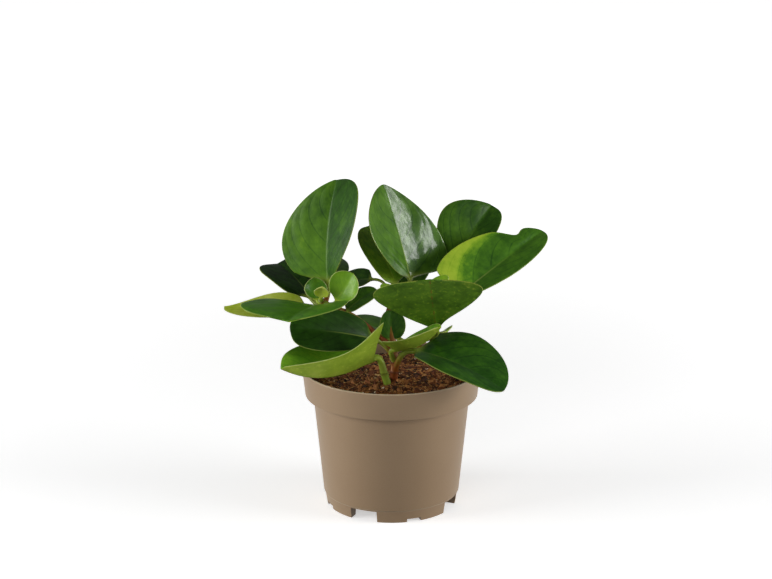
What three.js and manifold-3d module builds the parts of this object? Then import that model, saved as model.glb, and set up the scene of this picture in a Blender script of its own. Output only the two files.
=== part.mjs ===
// Potted peperomia: a nursery pot filled with soil, four leafy stems and their thick glossy leaves.
// Millimetres, +Z up. The origin is on the ground under the middle of the pot, and -Y is the front.
import * as THREE from 'three';
import { mergeVertices } from 'three/addons/utils/BufferGeometryUtils.js';
import Module from 'manifold-3d';

const wasm = await Module();
wasm.setup();

// Driving sizes of the pot: outer radii and heights of the foot, the body, the collar and the rim
const POT_HEIGHT = 95;
const RIM_RADIUS = 60;
const COLLAR_BOTTOM_RADIUS = 58;
const COLLAR_BOTTOM = 76.5;
const BODY_TOP_RADIUS = 52.7;
const BODY_BOTTOM_RADIUS = 46;
const BASE_LINE = 9;
const FOOT_RADIUS = 44;
const FOOT_WIDTH = 7;
const WALL = 1.5;
const FLOOR_UNDERSIDE = 6.5;
const FLOOR_TOP = 8.5;
const FLOOR_FILLET = 3;
const COLLAR_INNER_STEP = 2.5;
const BEVEL = 0.6;
const RIM_BEAD = 2;
const POT_SIDES = 48;

// Feet: four deep drainage gaps with four shallow ones between them, and holes in the floor
const GAP_ANGLE = THREE.MathUtils.degToRad(-25);
const GAP_COUNT = 8;
const DEEP_GAP = { width: 19, height: 7.8 };
const SHALLOW_GAP = { width: 10, height: 2.4 };
const DRAIN_RADIUS = 4;
const DRAIN_RING = 25;
const DRAIN_COUNT = 6;
const DRAIN_SIDES = 16;

// Soil: height at the wall, rise of the middle, depth of the lumps, and the rings of its top
const SOIL_EDGE = 86;
const SOIL_DOME = 3;
const SOIL_LUMP = 0.7;
const SOIL_RINGS = 6;

// The gap kept between pieces that touch
const CLEARANCE = 0.3;

// Leaves: blade thickness at the midrib and at the edge, the share of the blade over which the
// round petiole flattens, the share of the petiole that runs straight on from the blade, and facets
const RIB_THICKNESS = 1.3;
const EDGE_THICKNESS = 0.7;
const FLATTEN_SHARE = 0.12;
const ARRIVE_SHARE = 0.4;
const BLADE_STEPS = 10;
const PETIOLE_STEPS = 4;
const ACROSS = [-1, -0.55, 0, 0.55, 1];
const BLADE_END = 0.995;
const TIP_ROUNDING = 0.5;
const STEM_SIDES = 10;
const STEM_STEPS = 3;

const v3 = (p) => new THREE.Vector3(...p);
const perSide = (value) => (Array.isArray(value) ? value : [value, value]);

// Finishes
const material = (color, roughness, metalness = 0) =>
  new THREE.MeshStandardMaterial({ color, roughness, metalness });
const finishes = {
  pot: material('#8f7c66', 0.55),
  soil: material('#3d2516', 0.95),
  stem: material('#7a4a2c', 0.5),
  mature: material('#2f6b1c', 0.3),
  young: material('#6fa82c', 0.35),
};

// Mesh helpers
function toSolid(geometry) {
  const bare = geometry.clone();
  bare.deleteAttribute('normal');
  bare.deleteAttribute('uv');
  const merged = mergeVertices(bare, 1e-4);
  return new wasm.Manifold(new wasm.Mesh({
    numProp: 3,
    vertProperties: new Float32Array(merged.attributes.position.array),
    triVerts: new Uint32Array(merged.index.array),
  }));
}

function toGeometry(solid) {
  const mesh = solid.getMesh();
  const geometry = new THREE.BufferGeometry();
  const step = mesh.numProp;
  const count = mesh.vertProperties.length / step;
  const position = new Float32Array(count * 3);
  for (let i = 0; i < count; i += 1) {
    for (let axis = 0; axis < 3; axis += 1) {
      position[i * 3 + axis] = mesh.vertProperties[i * step + axis];
    }
  }
  geometry.setAttribute('position', new THREE.BufferAttribute(position, 3));
  geometry.setIndex(new THREE.BufferAttribute(new Uint32Array(mesh.triVerts), 1));
  geometry.computeVertexNormals();
  return geometry;
}

function piece(name, geometry, finish) {
  const mesh = new THREE.Mesh(geometry, finish.clone());
  mesh.name = name;
  return mesh;
}

// A closed skin over rings that all have the same number of points, with a flat cap at each end
function skin(rings) {
  const around = rings[0].length;
  const position = [];
  const index = [];
  for (const ring of rings) {
    for (const point of ring) {
      position.push(point.x, point.y, point.z);
    }
  }
  for (let i = 0; i + 1 < rings.length; i += 1) {
    for (let j = 0; j < around; j += 1) {
      const a = i * around + j;
      const b = i * around + ((j + 1) % around);
      index.push(a, b, b + around, a, b + around, a + around);
    }
  }
  const last = (rings.length - 1) * around;
  for (let j = 1; j + 1 < around; j += 1) {
    index.push(0, j + 1, j);
    index.push(last, last + j, last + j + 1);
  }
  const geometry = new THREE.BufferGeometry();
  geometry.setAttribute('position', new THREE.Float32BufferAttribute(position, 3));
  geometry.setIndex(index);
  return geometry;
}

// A lathe turned about +Z from [radius, height] pairs
function turned(profile, sides) {
  const points = profile.map(([radius, height]) => new THREE.Vector2(radius, height));
  return new THREE.LatheGeometry(points, sides).rotateX(Math.PI / 2);
}

// Pot
function bodyRadius(z) {
  const share = (z - BASE_LINE) / (COLLAR_BOTTOM - BASE_LINE);
  return BODY_BOTTOM_RADIUS + share * (BODY_TOP_RADIUS - BODY_BOTTOM_RADIUS);
}

const footProfile = [
  [0, FLOOR_UNDERSIDE],
  [FOOT_RADIUS - FOOT_WIDTH, FLOOR_UNDERSIDE],
  [FOOT_RADIUS - FOOT_WIDTH + BEVEL, 0],
  [FOOT_RADIUS - BEVEL, 0],
  [FOOT_RADIUS, BEVEL],
];

const outerProfile = [
  [BODY_BOTTOM_RADIUS - BEVEL, BASE_LINE - BEVEL],
  [BODY_BOTTOM_RADIUS, BASE_LINE],
  [BODY_TOP_RADIUS, COLLAR_BOTTOM],
  [COLLAR_BOTTOM_RADIUS - BEVEL, COLLAR_BOTTOM],
  [COLLAR_BOTTOM_RADIUS, COLLAR_BOTTOM + BEVEL],
  [RIM_RADIUS - BEVEL / 2, POT_HEIGHT - RIM_BEAD],
  [RIM_RADIUS, POT_HEIGHT - RIM_BEAD / 2],
  [RIM_RADIUS - BEVEL, POT_HEIGHT - BEVEL / 2],
  [RIM_RADIUS - RIM_BEAD / 2, POT_HEIGHT],
  [RIM_RADIUS - WALL, POT_HEIGHT - BEVEL],
];

const innerProfile = [
  [0, FLOOR_TOP],
  [BODY_BOTTOM_RADIUS - WALL - FLOOR_FILLET, FLOOR_TOP],
  [BODY_BOTTOM_RADIUS - WALL, FLOOR_TOP + FLOOR_FILLET],
  [bodyRadius(COLLAR_BOTTOM) - WALL, COLLAR_BOTTOM],
  [COLLAR_BOTTOM_RADIUS - WALL, COLLAR_BOTTOM + COLLAR_INNER_STEP],
  [RIM_RADIUS - WALL - BEVEL / 2, POT_HEIGHT - RIM_BEAD],
];

function potSolid() {
  const profile = [...footProfile, ...outerProfile, ...[...innerProfile].reverse()];
  let solid = toSolid(turned(profile, POT_SIDES));
  for (let k = 0; k < GAP_COUNT; k += 1) {
    const size = k % 2 === 0 ? DEEP_GAP : SHALLOW_GAP;
    const gap = new THREE.BoxGeometry(size.width, FOOT_WIDTH * 3, size.height * 2);
    gap.translate(0, -FOOT_RADIUS + FOOT_WIDTH / 2, 0);
    gap.rotateZ(GAP_ANGLE + (k * 2 * Math.PI) / GAP_COUNT);
    solid = solid.subtract(toSolid(gap));
  }
  for (let k = 0; k < DRAIN_COUNT; k += 1) {
    const hole = new THREE.CylinderGeometry(DRAIN_RADIUS, DRAIN_RADIUS, 3 * FLOOR_TOP, DRAIN_SIDES);
    hole.rotateX(Math.PI / 2);
    hole.translate(DRAIN_RING, 0, FLOOR_TOP);
    hole.rotateZ((k * 2 * Math.PI) / DRAIN_COUNT);
    solid = solid.subtract(toSolid(hole));
  }
  return solid;
}

// Soil: fills the pot a hair clear of its wall, with a low lumpy dome on top
function collarInnerRadius(z) {
  const [low, high] = innerProfile.slice(-2);
  return THREE.MathUtils.mapLinear(z, low[1], high[1], low[0], high[0]);
}

function soilHeight(x, y) {
  const share = Math.hypot(x, y) / RIM_RADIUS;
  const lumps = Math.sin(0.31 * x + 0.9) * Math.cos(0.27 * y) + Math.sin(0.17 * x - 0.23 * y + 2);
  return SOIL_EDGE + SOIL_DOME * (1 - share * share) + SOIL_LUMP * lumps * (1 - share);
}

function soilSolid() {
  const wall = innerProfile.slice(0, -1).map(([radius, height]) =>
    [Math.max(radius - CLEARANCE, 0), height + CLEARANCE]);
  const edge = collarInnerRadius(SOIL_EDGE) - 2 * CLEARANCE;
  const top = [];
  for (let k = SOIL_RINGS; k >= 0; k -= 1) {
    top.push([(edge * k) / SOIL_RINGS, SOIL_EDGE]);
  }
  const geometry = turned([...wall, ...top], POT_SIDES);
  const position = geometry.attributes.position;
  for (let i = 0; i < position.count; i += 1) {
    const x = position.getX(i);
    const y = position.getY(i);
    if (position.getZ(i) > SOIL_EDGE - CLEARANCE) {
      position.setZ(i, soilHeight(x, y));
    }
  }
  return toSolid(geometry);
}

// Stems: a smooth run of points, thinner towards the tip
const stems = {
  stem_main: {
    route: [[1.7, -8, 68], [1.8, -8, 90], [2, -7.5, 104], [0, -4, 120], [-1, 2, 134], [9, 7, 148]],
    radius: [2.7, 2],
  },
  stem_left: {
    route: [[1, -6, 110], [-10, -5, 119], [-26, -3, 131], [-42, -4, 139], [-46.5, -8, 143.5]],
    radius: [2.2, 1.8],
  },
  stem_low: {
    route: [[-0.5, -17.5, 68], [-1.5, -18, 84], [-5, -20.5, 97]],
    radius: [2.7, 2.4],
  },
  stem_back: {
    route: [[30, 26, 68], [30, 27, 90], [31, 28, 116], [35, 30, 142]],
    radius: [2.5, 1.9],
  },
};

function stemCurve(stem) {
  return new THREE.CatmullRomCurve3(stem.route.map(v3));
}

function stemSolid(stem, extra = 0) {
  const curve = stemCurve(stem);
  const steps = (stem.route.length - 1) * STEM_STEPS;
  const frames = curve.computeFrenetFrames(steps, false);
  const rings = [];
  for (let i = 0; i <= steps; i += 1) {
    const share = i / steps;
    const centre = curve.getPointAt(share);
    if (i === 0) {
      centre.addScaledVector(frames.tangents[0], -extra);
    }
    if (i === steps) {
      centre.addScaledVector(frames.tangents[steps], extra);
    }
    const radius = THREE.MathUtils.lerp(stem.radius[0], stem.radius[1], share) + extra;
    const ring = [];
    for (let j = 0; j < STEM_SIDES; j += 1) {
      const angle = (j / STEM_SIDES) * 2 * Math.PI;
      const point = centre.clone();
      point.addScaledVector(frames.normals[i], radius * Math.cos(angle));
      point.addScaledVector(frames.binormals[i], radius * Math.sin(angle));
      ring.push(point);
    }
    rings.push(ring);
  }
  return toSolid(skin(rings));
}

// Leaves. Each grows from a stem, at a share of the stem's length, on a petiole that ends where the
// blade begins (base). The blade runs to its tip, with its upper side towards face. left and right
// are the half widths seen from above with the tip away from the viewer, fold lifts the halves in
// degrees, arch bends the blade back, widest is the share of the length where it is widest, round
// is how blunt the tip is, petiole is the petiole's radius and sweep leans the edge to the base.
// A pair holds the values of the left half and the right half.
const leaves = {
  leaf_left_upright: {
    stem: 'stem_left', at: 0.93, base: [-42, 4, 150], tip: [-32, 20, 219], face: [-0.66, -0.74, 0.15],
    left: 35.5, right: 30.5, fold: 20, arch: 4, widest: [0.38, 0.66], round: [0.9, 0.5], petiole: 1.6,
  },
  leaf_top_centre: {
    stem: 'stem_main', at: 0.94, base: [12.5, 13, 151], tip: [-6, 20, 215.5], face: [0.73, -0.65, 0.25],
    left: 34, right: 33.5, fold: 15, arch: 3, widest: [0.62, 0.42], round: [0.6, 0.85], petiole: 1.6,
    sweep: [0, 0.3],
  },
  leaf_behind_top: {
    stem: 'stem_main', at: 0.83, base: [3, 13, 147], tip: [-17, 36, 182.5], face: [0.3, -0.6, 0.7],
    left: 15, right: 18, fold: 12, arch: 3, widest: 0.6, round: 0.5, petiole: 1.5,
  },
  leaf_back_right: {
    stem: 'stem_back', at: 0.9, base: [36, 38, 148], tip: [69, 60, 192], face: [0.25, -0.75, 0.6],
    left: 27.5, right: 14, fold: 15, arch: 3, widest: [0.45, 0.65], round: [0.28, 0.3], petiole: 1.6,
    sweep: [0.35, 0],
  },
  leaf_right: {
    stem: 'stem_main', at: 0.87, base: [42, -4, 143], tip: [104.3, 56, 174.5], face: [0.1, -0.6, 0.8],
    left: 27.5, right: 15, fold: 16, arch: 1, widest: [0.34, 0.6], round: [0.72, 0.5], petiole: 1.6,
    sweep: [0.25, 0],
  },
  leaf_front_centre: {
    stem: 'stem_main', at: 0.5, base: [30, -14, 124], tip: [24, -60, 171.5], face: [0, 0.6, 0.8],
    left: 33, right: 37, fold: -4, arch: -2, widest: [0.86, 0.83], round: 0.3, petiole: 1.7,
  },
  leaf_lower_right: {
    stem: 'stem_main', at: 0.3, base: [15, -20, 112], tip: [72, -60, 98], face: [0.2, -0.25, 0.9],
    left: 35, right: 20, fold: 8, arch: 4, widest: [0.42, 0.55], round: [0.55, 0.5], petiole: 1.6,
    sweep: [0.2, 0],
  },
  leaf_lower_right_back: {
    stem: 'stem_back', at: 0.45, base: [32, 18, 110], tip: [37.5, 5, 118], face: [0, -0.5, 1],
    left: 8, right: 8, fold: 12, arch: 1, widest: 0.6, petiole: 1.1, finish: 'young',
  },
  leaf_front_small: {
    stem: 'stem_main', at: 0.38, base: [3, -20, 113], tip: [31.5, -43, 135.5], face: [-0.1, 0, 0.9],
    left: 12, right: 13.5, fold: [30, 44], arch: -4, widest: [0.5, 0.3], round: 0.6, petiole: 1.6,
    sweep: [0, 0.7], finish: 'young',
  },
  leaf_stem_upright: {
    stem: 'stem_main', at: 0.48, base: [-1, -6, 115], tip: [0, 0, 134], face: [0.1, -0.95, 0.2],
    left: 8, right: 10, fold: 15, arch: 1, widest: 0.5, petiole: 1.1,
  },
  leaf_lower_left_front: {
    stem: 'stem_low', at: 1, base: [-12, -24, 108], tip: [-71, -54, 111], face: [0, 0, 1],
    left: 33, right: 28, fold: [60, 36], arch: -9, widest: [0.16, 0.5], round: [0.7, 0.5],
    petiole: 2.2, sweep: [0.55, 0], finish: 'young',
  },
  leaf_lower_left_back: {
    stem: 'stem_main', at: 0.4, base: [-11, -8, 116], tip: [-66, -34, 131], face: [0, -0.7, 0.7],
    left: 12, right: 16.8, fold: 8, arch: 3, widest: 0.48, petiole: 1.6,
  },
  leaf_left_front: {
    stem: 'stem_left', at: 0.78, base: [-48, -11, 140], tip: [-65, -66, 146], face: [-0.2, -0.14, 0.92],
    left: 33, right: 37, fold: [9, 19], arch: 2, widest: [0.62, 0.7], round: [0.42, 0.34], petiole: 1.5,
  },
  leaf_far_left: {
    stem: 'stem_left', at: 0.67, base: [-54, -3, 134.5], tip: [-110.2, -15, 140], face: [0, -0.75, 0.65],
    left: 8, right: 12.5, fold: 8, arch: 0, widest: [0.5, 0.3], round: [0.7, 1.5], petiole: 1.4,
    finish: 'young',
  },
  leaf_left_dark: {
    stem: 'stem_left', at: 0.82, base: [-54, 9, 140], tip: [-78, 41, 155], face: [0.2, -0.5, 0.8],
    left: 21, right: 21, fold: 15, arch: 3, widest: 0.55, round: 0.42, petiole: 1.5,
  },
  leaf_young_cup: {
    stem: 'stem_left', at: 0.92, base: [-49.5, -2.7, 141.8], tip: [-51.5, 3.3, 155.8], face: [0.2, -0.95, 0.2],
    left: 8.5, right: 8.5, fold: 24, arch: -2, widest: 0.5, petiole: 1, finish: 'young',
  },
  leaf_bud: {
    stem: 'stem_left', at: 1, base: [-46.5, -11, 146], tip: [-45.5, -14, 154], face: [0, -0.9, 0.3],
    left: 5.4, right: 5.4, fold: 20, arch: -1, widest: 0.5, petiole: 0.8, finish: 'young',
  },
  leaf_young_bright: {
    stem: 'stem_left', at: 0.96, base: [-36.5, -12, 144], tip: [-25.5, -11, 162.5], face: [-0.2, -0.8, 0.5],
    left: 11.5, right: 12, fold: 20, arch: -1, widest: 0.55, petiole: 1.1, finish: 'young',
  },
  leaf_left_back_upper: {
    stem: 'stem_main', at: 0.78, base: [-12.5, 22, 149.5], tip: [-42, 34, 139], face: [0.1, -0.4, 0.9],
    left: 11, right: 12, fold: 10, arch: 2, widest: 0.45, petiole: 1,
  },
  leaf_left_back_lower: {
    stem: 'stem_left', at: 0.74, base: [-30, -4, 134], tip: [-10, 8, 146], face: [-0.2, -0.5, 0.8],
    left: 8, right: 8, fold: 12, arch: 2, widest: 0.55, petiole: 1.2,
  },
  leaf_centre_bud: {
    stem: 'stem_main', at: 0.99, base: [22, -8, 151], tip: [37, -17, 159.5], face: [-0.4, 0, 0.9],
    left: 7, right: 7, fold: 20, arch: 1, widest: 0.55, petiole: 1.1, finish: 'young',
  },
  leaf_centre_young: {
    stem: 'stem_main', at: 0.97, base: [6, -2, 148], tip: [-6, -16, 153], face: [0.3, 0.2, 0.9],
    left: 6, right: 6, fold: 20, arch: 1, widest: 0.55, petiole: 1, finish: 'young',
  },
  leaf_back_low: {
    stem: 'stem_back', at: 0.3, base: [38, 38, 98], tip: [60, 63, 80], face: [0, 0, 1],
    left: 15, right: 15, fold: 10, arch: 7, widest: 0.55, petiole: 1.5,
  },
  leaf_back_low_left: {
    stem: 'stem_back', at: 0.4, base: [4, 36, 104], tip: [-44, 58.5, 105], face: [0, 0.1, 1],
    left: 22, right: 20, fold: 10, arch: 5, widest: 0.55, petiole: 1.5,
  },
  leaf_back_left: {
    stem: 'stem_left', at: 0.74, base: [-38, 20, 148], tip: [-46, 66, 154], face: [0.3, -0.2, 1],
    left: 9, right: 12, fold: 8, arch: 4, widest: 0.55, petiole: 1.5,
  },
  leaf_back_centre: {
    stem: 'stem_main', at: 0.72, base: [12, 30, 140], tip: [14, 66, 154], face: [0, -0.3, 1],
    left: 15, right: 15, fold: 8, arch: 4, widest: 0.55, petiole: 1.5,
  },
  leaf_back_far: {
    stem: 'stem_back', at: 0.75, base: [44, 38, 132], tip: [60, 66, 153], face: [0.2, -0.4, 0.9],
    left: 15, right: 18, fold: 12, arch: 3, widest: 0.55, petiole: 1.4,
  },
};

function shareOfWidth(s, widest, tipPower) {
  const basePower = (tipPower * widest) / (1 - widest);
  return (s / widest) ** basePower * ((1 - s) / (1 - widest)) ** tipPower;
}

function leafFrame(leaf) {
  const base = v3(leaf.base);
  const tip = v3(leaf.tip);
  const along = tip.clone().sub(base).normalize();
  const right = along.clone().cross(v3(leaf.face)).normalize();
  const up = right.clone().cross(along);
  const middle = base.clone().lerp(tip, 0.5).addScaledVector(up, 2 * (leaf.arch ?? 0));
  const blade = new THREE.QuadraticBezierCurve3(base, middle, tip);
  const foot = stemCurve(stems[leaf.stem]).getPointAt(leaf.at);
  const reach = ARRIVE_SHARE * base.distanceTo(foot);
  const arrive = base.clone().addScaledVector(blade.getTangent(0), -reach);
  const leave = foot.clone().lerp(arrive, 0.5);
  const petiole = new THREE.CubicBezierCurve3(foot, leave, arrive, base);
  return { petiole, blade, right };
}

// One ring of the leaf, across the blade's upper side from left to right and back underneath. Near
// the base it is the petiole's round section, which widens into the folded blade.
function leafRing(centre, tangent, rightHint, leaf, s) {
  const right = rightHint.clone().addScaledVector(tangent, -rightHint.dot(tangent)).normalize();
  const up = right.clone().cross(tangent);
  const flat = THREE.MathUtils.smoothstep(s, 0, FLATTEN_SHARE);
  const rounding = perSide(leaf.round ?? TIP_ROUNDING);
  const widest = perSide(leaf.widest);
  const sweep = perSide(leaf.sweep ?? 0);
  const fold = perSide(leaf.fold).map(THREE.MathUtils.degToRad);
  const ring = [];
  for (let i = 0; i < 2 * ACROSS.length; i += 1) {
    const top = i < ACROSS.length;
    const t = top ? ACROSS[i] : ACROSS[2 * ACROSS.length - 1 - i];
    const side = t < 0 ? 0 : 1;
    const full = side === 0 ? leaf.left : leaf.right;
    const spread = s > 0 ? shareOfWidth(s, widest[side], rounding[side]) : 0;
    const width = THREE.MathUtils.lerp(leaf.petiole, full, spread) * Math.abs(t);
    const thickness = THREE.MathUtils.lerp(RIB_THICKNESS, EDGE_THICKNESS, Math.abs(t));
    const bladeX = Math.sign(t) * width * Math.cos(fold[side]);
    const bladeZ = width * Math.sin(fold[side]) + (top ? 0.5 : -0.5) * thickness;
    const angle = Math.PI * (1 - (i + 0.5) / ACROSS.length);
    const point = centre.clone();
    point.addScaledVector(right, THREE.MathUtils.lerp(leaf.petiole * Math.cos(angle), bladeX, flat));
    point.addScaledVector(up, THREE.MathUtils.lerp(leaf.petiole * Math.sin(angle), bladeZ, flat));
    point.addScaledVector(tangent, -sweep[side] * width * flat);
    ring.push(point);
  }
  return ring;
}

function leafSolid(leaf) {
  const { petiole, blade, right } = leafFrame(leaf);
  const rings = [];
  for (let i = 0; i < PETIOLE_STEPS; i += 1) {
    const s = i / PETIOLE_STEPS;
    rings.push(leafRing(petiole.getPoint(s), petiole.getTangent(s), right, leaf, 0));
  }
  for (let i = 0; i <= BLADE_STEPS; i += 1) {
    const s = Math.min(Math.sin((i / BLADE_STEPS) * (Math.PI / 2)), BLADE_END);
    rings.push(leafRing(blade.getPoint(s), blade.getTangent(s), right, leaf, s));
  }
  return toSolid(skin(rings));
}

// Assembly
const group = new THREE.Group();
group.name = 'potted_peperomia';
group.add(piece('pot', toGeometry(potSolid()), finishes.pot));

let soil = soilSolid();
for (const [name, stem] of Object.entries(stems)) {
  let solid = stemSolid(stem);
  if (name === 'stem_left') {
    solid = solid.subtract(stemSolid(stems.stem_main, CLEARANCE));
  }
  soil = soil.subtract(stemSolid(stem, CLEARANCE));
  group.add(piece(name, toGeometry(solid), finishes.stem));
}

for (const [name, leaf] of Object.entries(leaves)) {
  let solid = leafSolid(leaf);
  for (const stem of Object.values(stems)) {
    solid = solid.subtract(stemSolid(stem, CLEARANCE));
  }
  group.add(piece(name, toGeometry(solid), finishes[leaf.finish ?? 'mature']));
}
group.add(piece('soil', toGeometry(soil), finishes.soil));

export default group;
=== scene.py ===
"""Potted peperomia: the looks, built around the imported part.

Everything is in metres in the part's own frame: +Z up, -Y the front, and the origin on the ground
under the middle of the pot. Sizes that describe the plant are given in millimetres, as measured on
the plant, and are turned into metres where a mesh is made.
"""
from __future__ import annotations

import logging
import math
from dataclasses import dataclass, replace
from enum import Enum
from typing import ClassVar, Sequence, Union

import bpy
import numpy as np
from mathutils import Matrix, Vector


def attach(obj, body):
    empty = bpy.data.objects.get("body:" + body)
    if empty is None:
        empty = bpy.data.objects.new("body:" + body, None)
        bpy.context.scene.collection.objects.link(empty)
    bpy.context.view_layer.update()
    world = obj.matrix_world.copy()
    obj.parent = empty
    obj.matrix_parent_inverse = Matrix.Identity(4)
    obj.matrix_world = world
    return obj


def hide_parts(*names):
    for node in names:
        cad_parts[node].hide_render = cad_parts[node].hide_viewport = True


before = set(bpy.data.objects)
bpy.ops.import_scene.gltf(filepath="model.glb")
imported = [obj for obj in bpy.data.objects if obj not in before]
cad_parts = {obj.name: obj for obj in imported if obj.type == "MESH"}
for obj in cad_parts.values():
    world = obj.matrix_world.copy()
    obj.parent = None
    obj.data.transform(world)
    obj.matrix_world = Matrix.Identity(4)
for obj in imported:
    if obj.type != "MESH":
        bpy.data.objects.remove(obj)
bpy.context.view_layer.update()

LOG = logging.getLogger("peperomia")
MM = 0.001
PER_SQUARE_CM = 1e4
SEED = 20

Point = tuple[float, float, float]
Pair = tuple[float, float]
Colour = tuple[float, float, float]
Array = np.ndarray
Faces = Sequence[Sequence[int]]


class Slot(Enum):
    """The record's material slots."""

    POT = "pot_plastic"
    SOIL = "potting_soil"
    STEM = "stem_skin"
    MATURE = "leaf_mature"
    YOUNG = "leaf_young"


def linear(code: str) -> Colour:
    """Turns a colour as seen on a screen into the linear values that shaders use.

    Args:
        code: six hexadecimal digits, red, green and blue.

    Returns:
        The three linear values.
    """
    shares = [int(code[i:i + 2], 16) / 255 for i in (0, 2, 4)]
    return tuple(c / 12.92 if c <= 0.04045 else ((c + 0.055) / 1.055) ** 2.4 for c in shares)


def colours(codes: str) -> tuple[Colour, ...]:
    """Several colours, from their codes in one line."""
    return tuple(linear(code) for code in codes.split())


def smooth(value: Array | float, low: float, high: float) -> Array | float:
    """Eases from 0 at low to 1 at high.

    Args:
        value: the number or numbers to ease.
        low: where the result leaves 0.
        high: where the result reaches 1.

    Returns:
        Numbers from 0 to 1.
    """
    share = np.clip((value - low) / (high - low), 0, 1)
    return share * share * (3 - 2 * share)


class Value:
    """One output of a node, on which Python's operators add Math nodes."""

    def __init__(self, tree: "Tree", socket: bpy.types.NodeSocket) -> None:
        """Keeps the tree and the socket."""
        self.tree = tree
        self.socket = socket

    def out(self, name: str) -> "Value":
        """Another output of the same node."""
        return Value(self.tree, self.socket.node.outputs[name])

    def __add__(self, other: "Feed") -> "Value":
        """self + other."""
        return self.tree.math("ADD", self, other)

    __radd__ = __add__

    def __sub__(self, other: "Feed") -> "Value":
        """self - other."""
        return self.tree.math("SUBTRACT", self, other)

    def __rsub__(self, other: "Feed") -> "Value":
        """other - self."""
        return self.tree.math("SUBTRACT", other, self)

    def __mul__(self, other: "Feed") -> "Value":
        """self * other."""
        return self.tree.math("MULTIPLY", self, other)

    __rmul__ = __mul__

    def __pow__(self, other: "Feed") -> "Value":
        """self to the power of other."""
        return self.tree.math("POWER", self, other)

    def __abs__(self) -> "Value":
        """The size of self without its sign."""
        return self.tree.math("ABSOLUTE", self)

    def fraction(self) -> "Value":
        """What is left of self above the whole number below it."""
        return self.tree.math("FRACT", self)

    def eased(self, low: float, high: float) -> "Value":
        """0 where self is low, easing to 1 where it is high."""
        sockets = {"Value": self, "From Min": low, "From Max": high}
        return self.tree.add("ShaderNodeMapRange", {"interpolation_type": "SMOOTHSTEP"}, sockets)


Feed = Union[float, int, str, bool, Sequence[float], Value, object]


class Tree:
    """A node tree, with one method that adds any node."""

    def __init__(self, tree: bpy.types.NodeTree) -> None:
        """Keeps the tree and empties it."""
        self.tree = tree
        tree.nodes.clear()

    def socket(self, node: bpy.types.Node, key: str | int) -> bpy.types.NodeSocket:
        """Finds an input of a node.

        Args:
            node: the node.
            key: the input's identifier, name or place.

        Returns:
            The input.
        """
        if isinstance(key, int):
            return node.inputs[key]
        for found in node.inputs:
            if found.identifier == key:
                return found
        return node.inputs[key]

    def feed(self, target: bpy.types.NodeSocket, value: Feed) -> None:
        """Links or sets an input.

        Args:
            target: the input.
            value: an output to link, or a plain value to set.
        """
        if isinstance(value, Value):
            self.tree.links.new(value.socket, target)
        elif isinstance(value, tuple) and target.type == "RGBA" and len(value) == 3:
            target.default_value = (*value, 1.0)
        else:
            target.default_value = value

    def add(self, kind: str, settings: dict[str, Feed] | None = None,
            sockets: dict[str | int, Feed] | None = None, output: str | int = 0) -> Value | None:
        """Adds a node: its settings first, then its sockets.

        Args:
            kind: the node's type.
            settings: its properties by name; stops sets a colour ramp's stops.
            sockets: what its inputs are set or linked to, by identifier, name or place.
            output: which output is returned.

        Returns:
            The output, or None where the node has none.
        """
        node = self.tree.nodes.new(kind)
        for name, value in (settings or {}).items():
            if name == "stops":
                self.set_stops(node.color_ramp, value)
            else:
                setattr(node, name, value)
        for key, value in (sockets or {}).items():
            self.feed(self.socket(node, key), value)
        return Value(self, node.outputs[output]) if len(node.outputs) else None

    @staticmethod
    def set_stops(ramp: bpy.types.ColorRamp, stops: Sequence[tuple[float, Colour]]) -> None:
        """Sets a colour ramp's stops.

        Args:
            ramp: the ramp, which has two stops to begin with.
            stops: the places and linear colours.
        """
        while len(ramp.elements) < len(stops):
            ramp.elements.new(1.0)
        for element, (place, colour) in zip(ramp.elements, stops):
            element.position = place
            element.color = (*colour, 1.0)

    def math(self, operation: str, *values: Feed) -> Value:
        """A Math node.

        Args:
            operation: what it does.
            values: its inputs in order.

        Returns:
            The result.
        """
        return self.add("ShaderNodeMath", {"operation": operation}, dict(enumerate(values)))

    def vector(self, operation: str, *values: Feed, output: str | int = 0) -> Value:
        """A Vector Math node.

        Args:
            operation: what it does.
            values: its inputs in order.
            output: which output is returned.

        Returns:
            The result.
        """
        sockets = dict(enumerate(values))
        return self.add("ShaderNodeVectorMath", {"operation": operation}, sockets, output)

    def scaled(self, vector: Value, by: Value) -> Value:
        """A vector made longer or shorter."""
        return self.add("ShaderNodeVectorMath", {"operation": "SCALE"}, {0: vector, "Scale": by})

    def mix(self, factor: Feed, first: Feed, second: Feed, blend: str = "MIX") -> Value:
        """Mixes two colours.

        Args:
            factor: 0 for the first, 1 for the second.
            first: a colour.
            second: a colour.
            blend: how the second is laid over the first.

        Returns:
            The mixed colour.
        """
        sockets = {"Factor_Float": factor, "A_Color": first, "B_Color": second}
        settings = {"data_type": "RGBA", "blend_type": blend}
        return self.add("ShaderNodeMix", settings, sockets, output=2)


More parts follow.
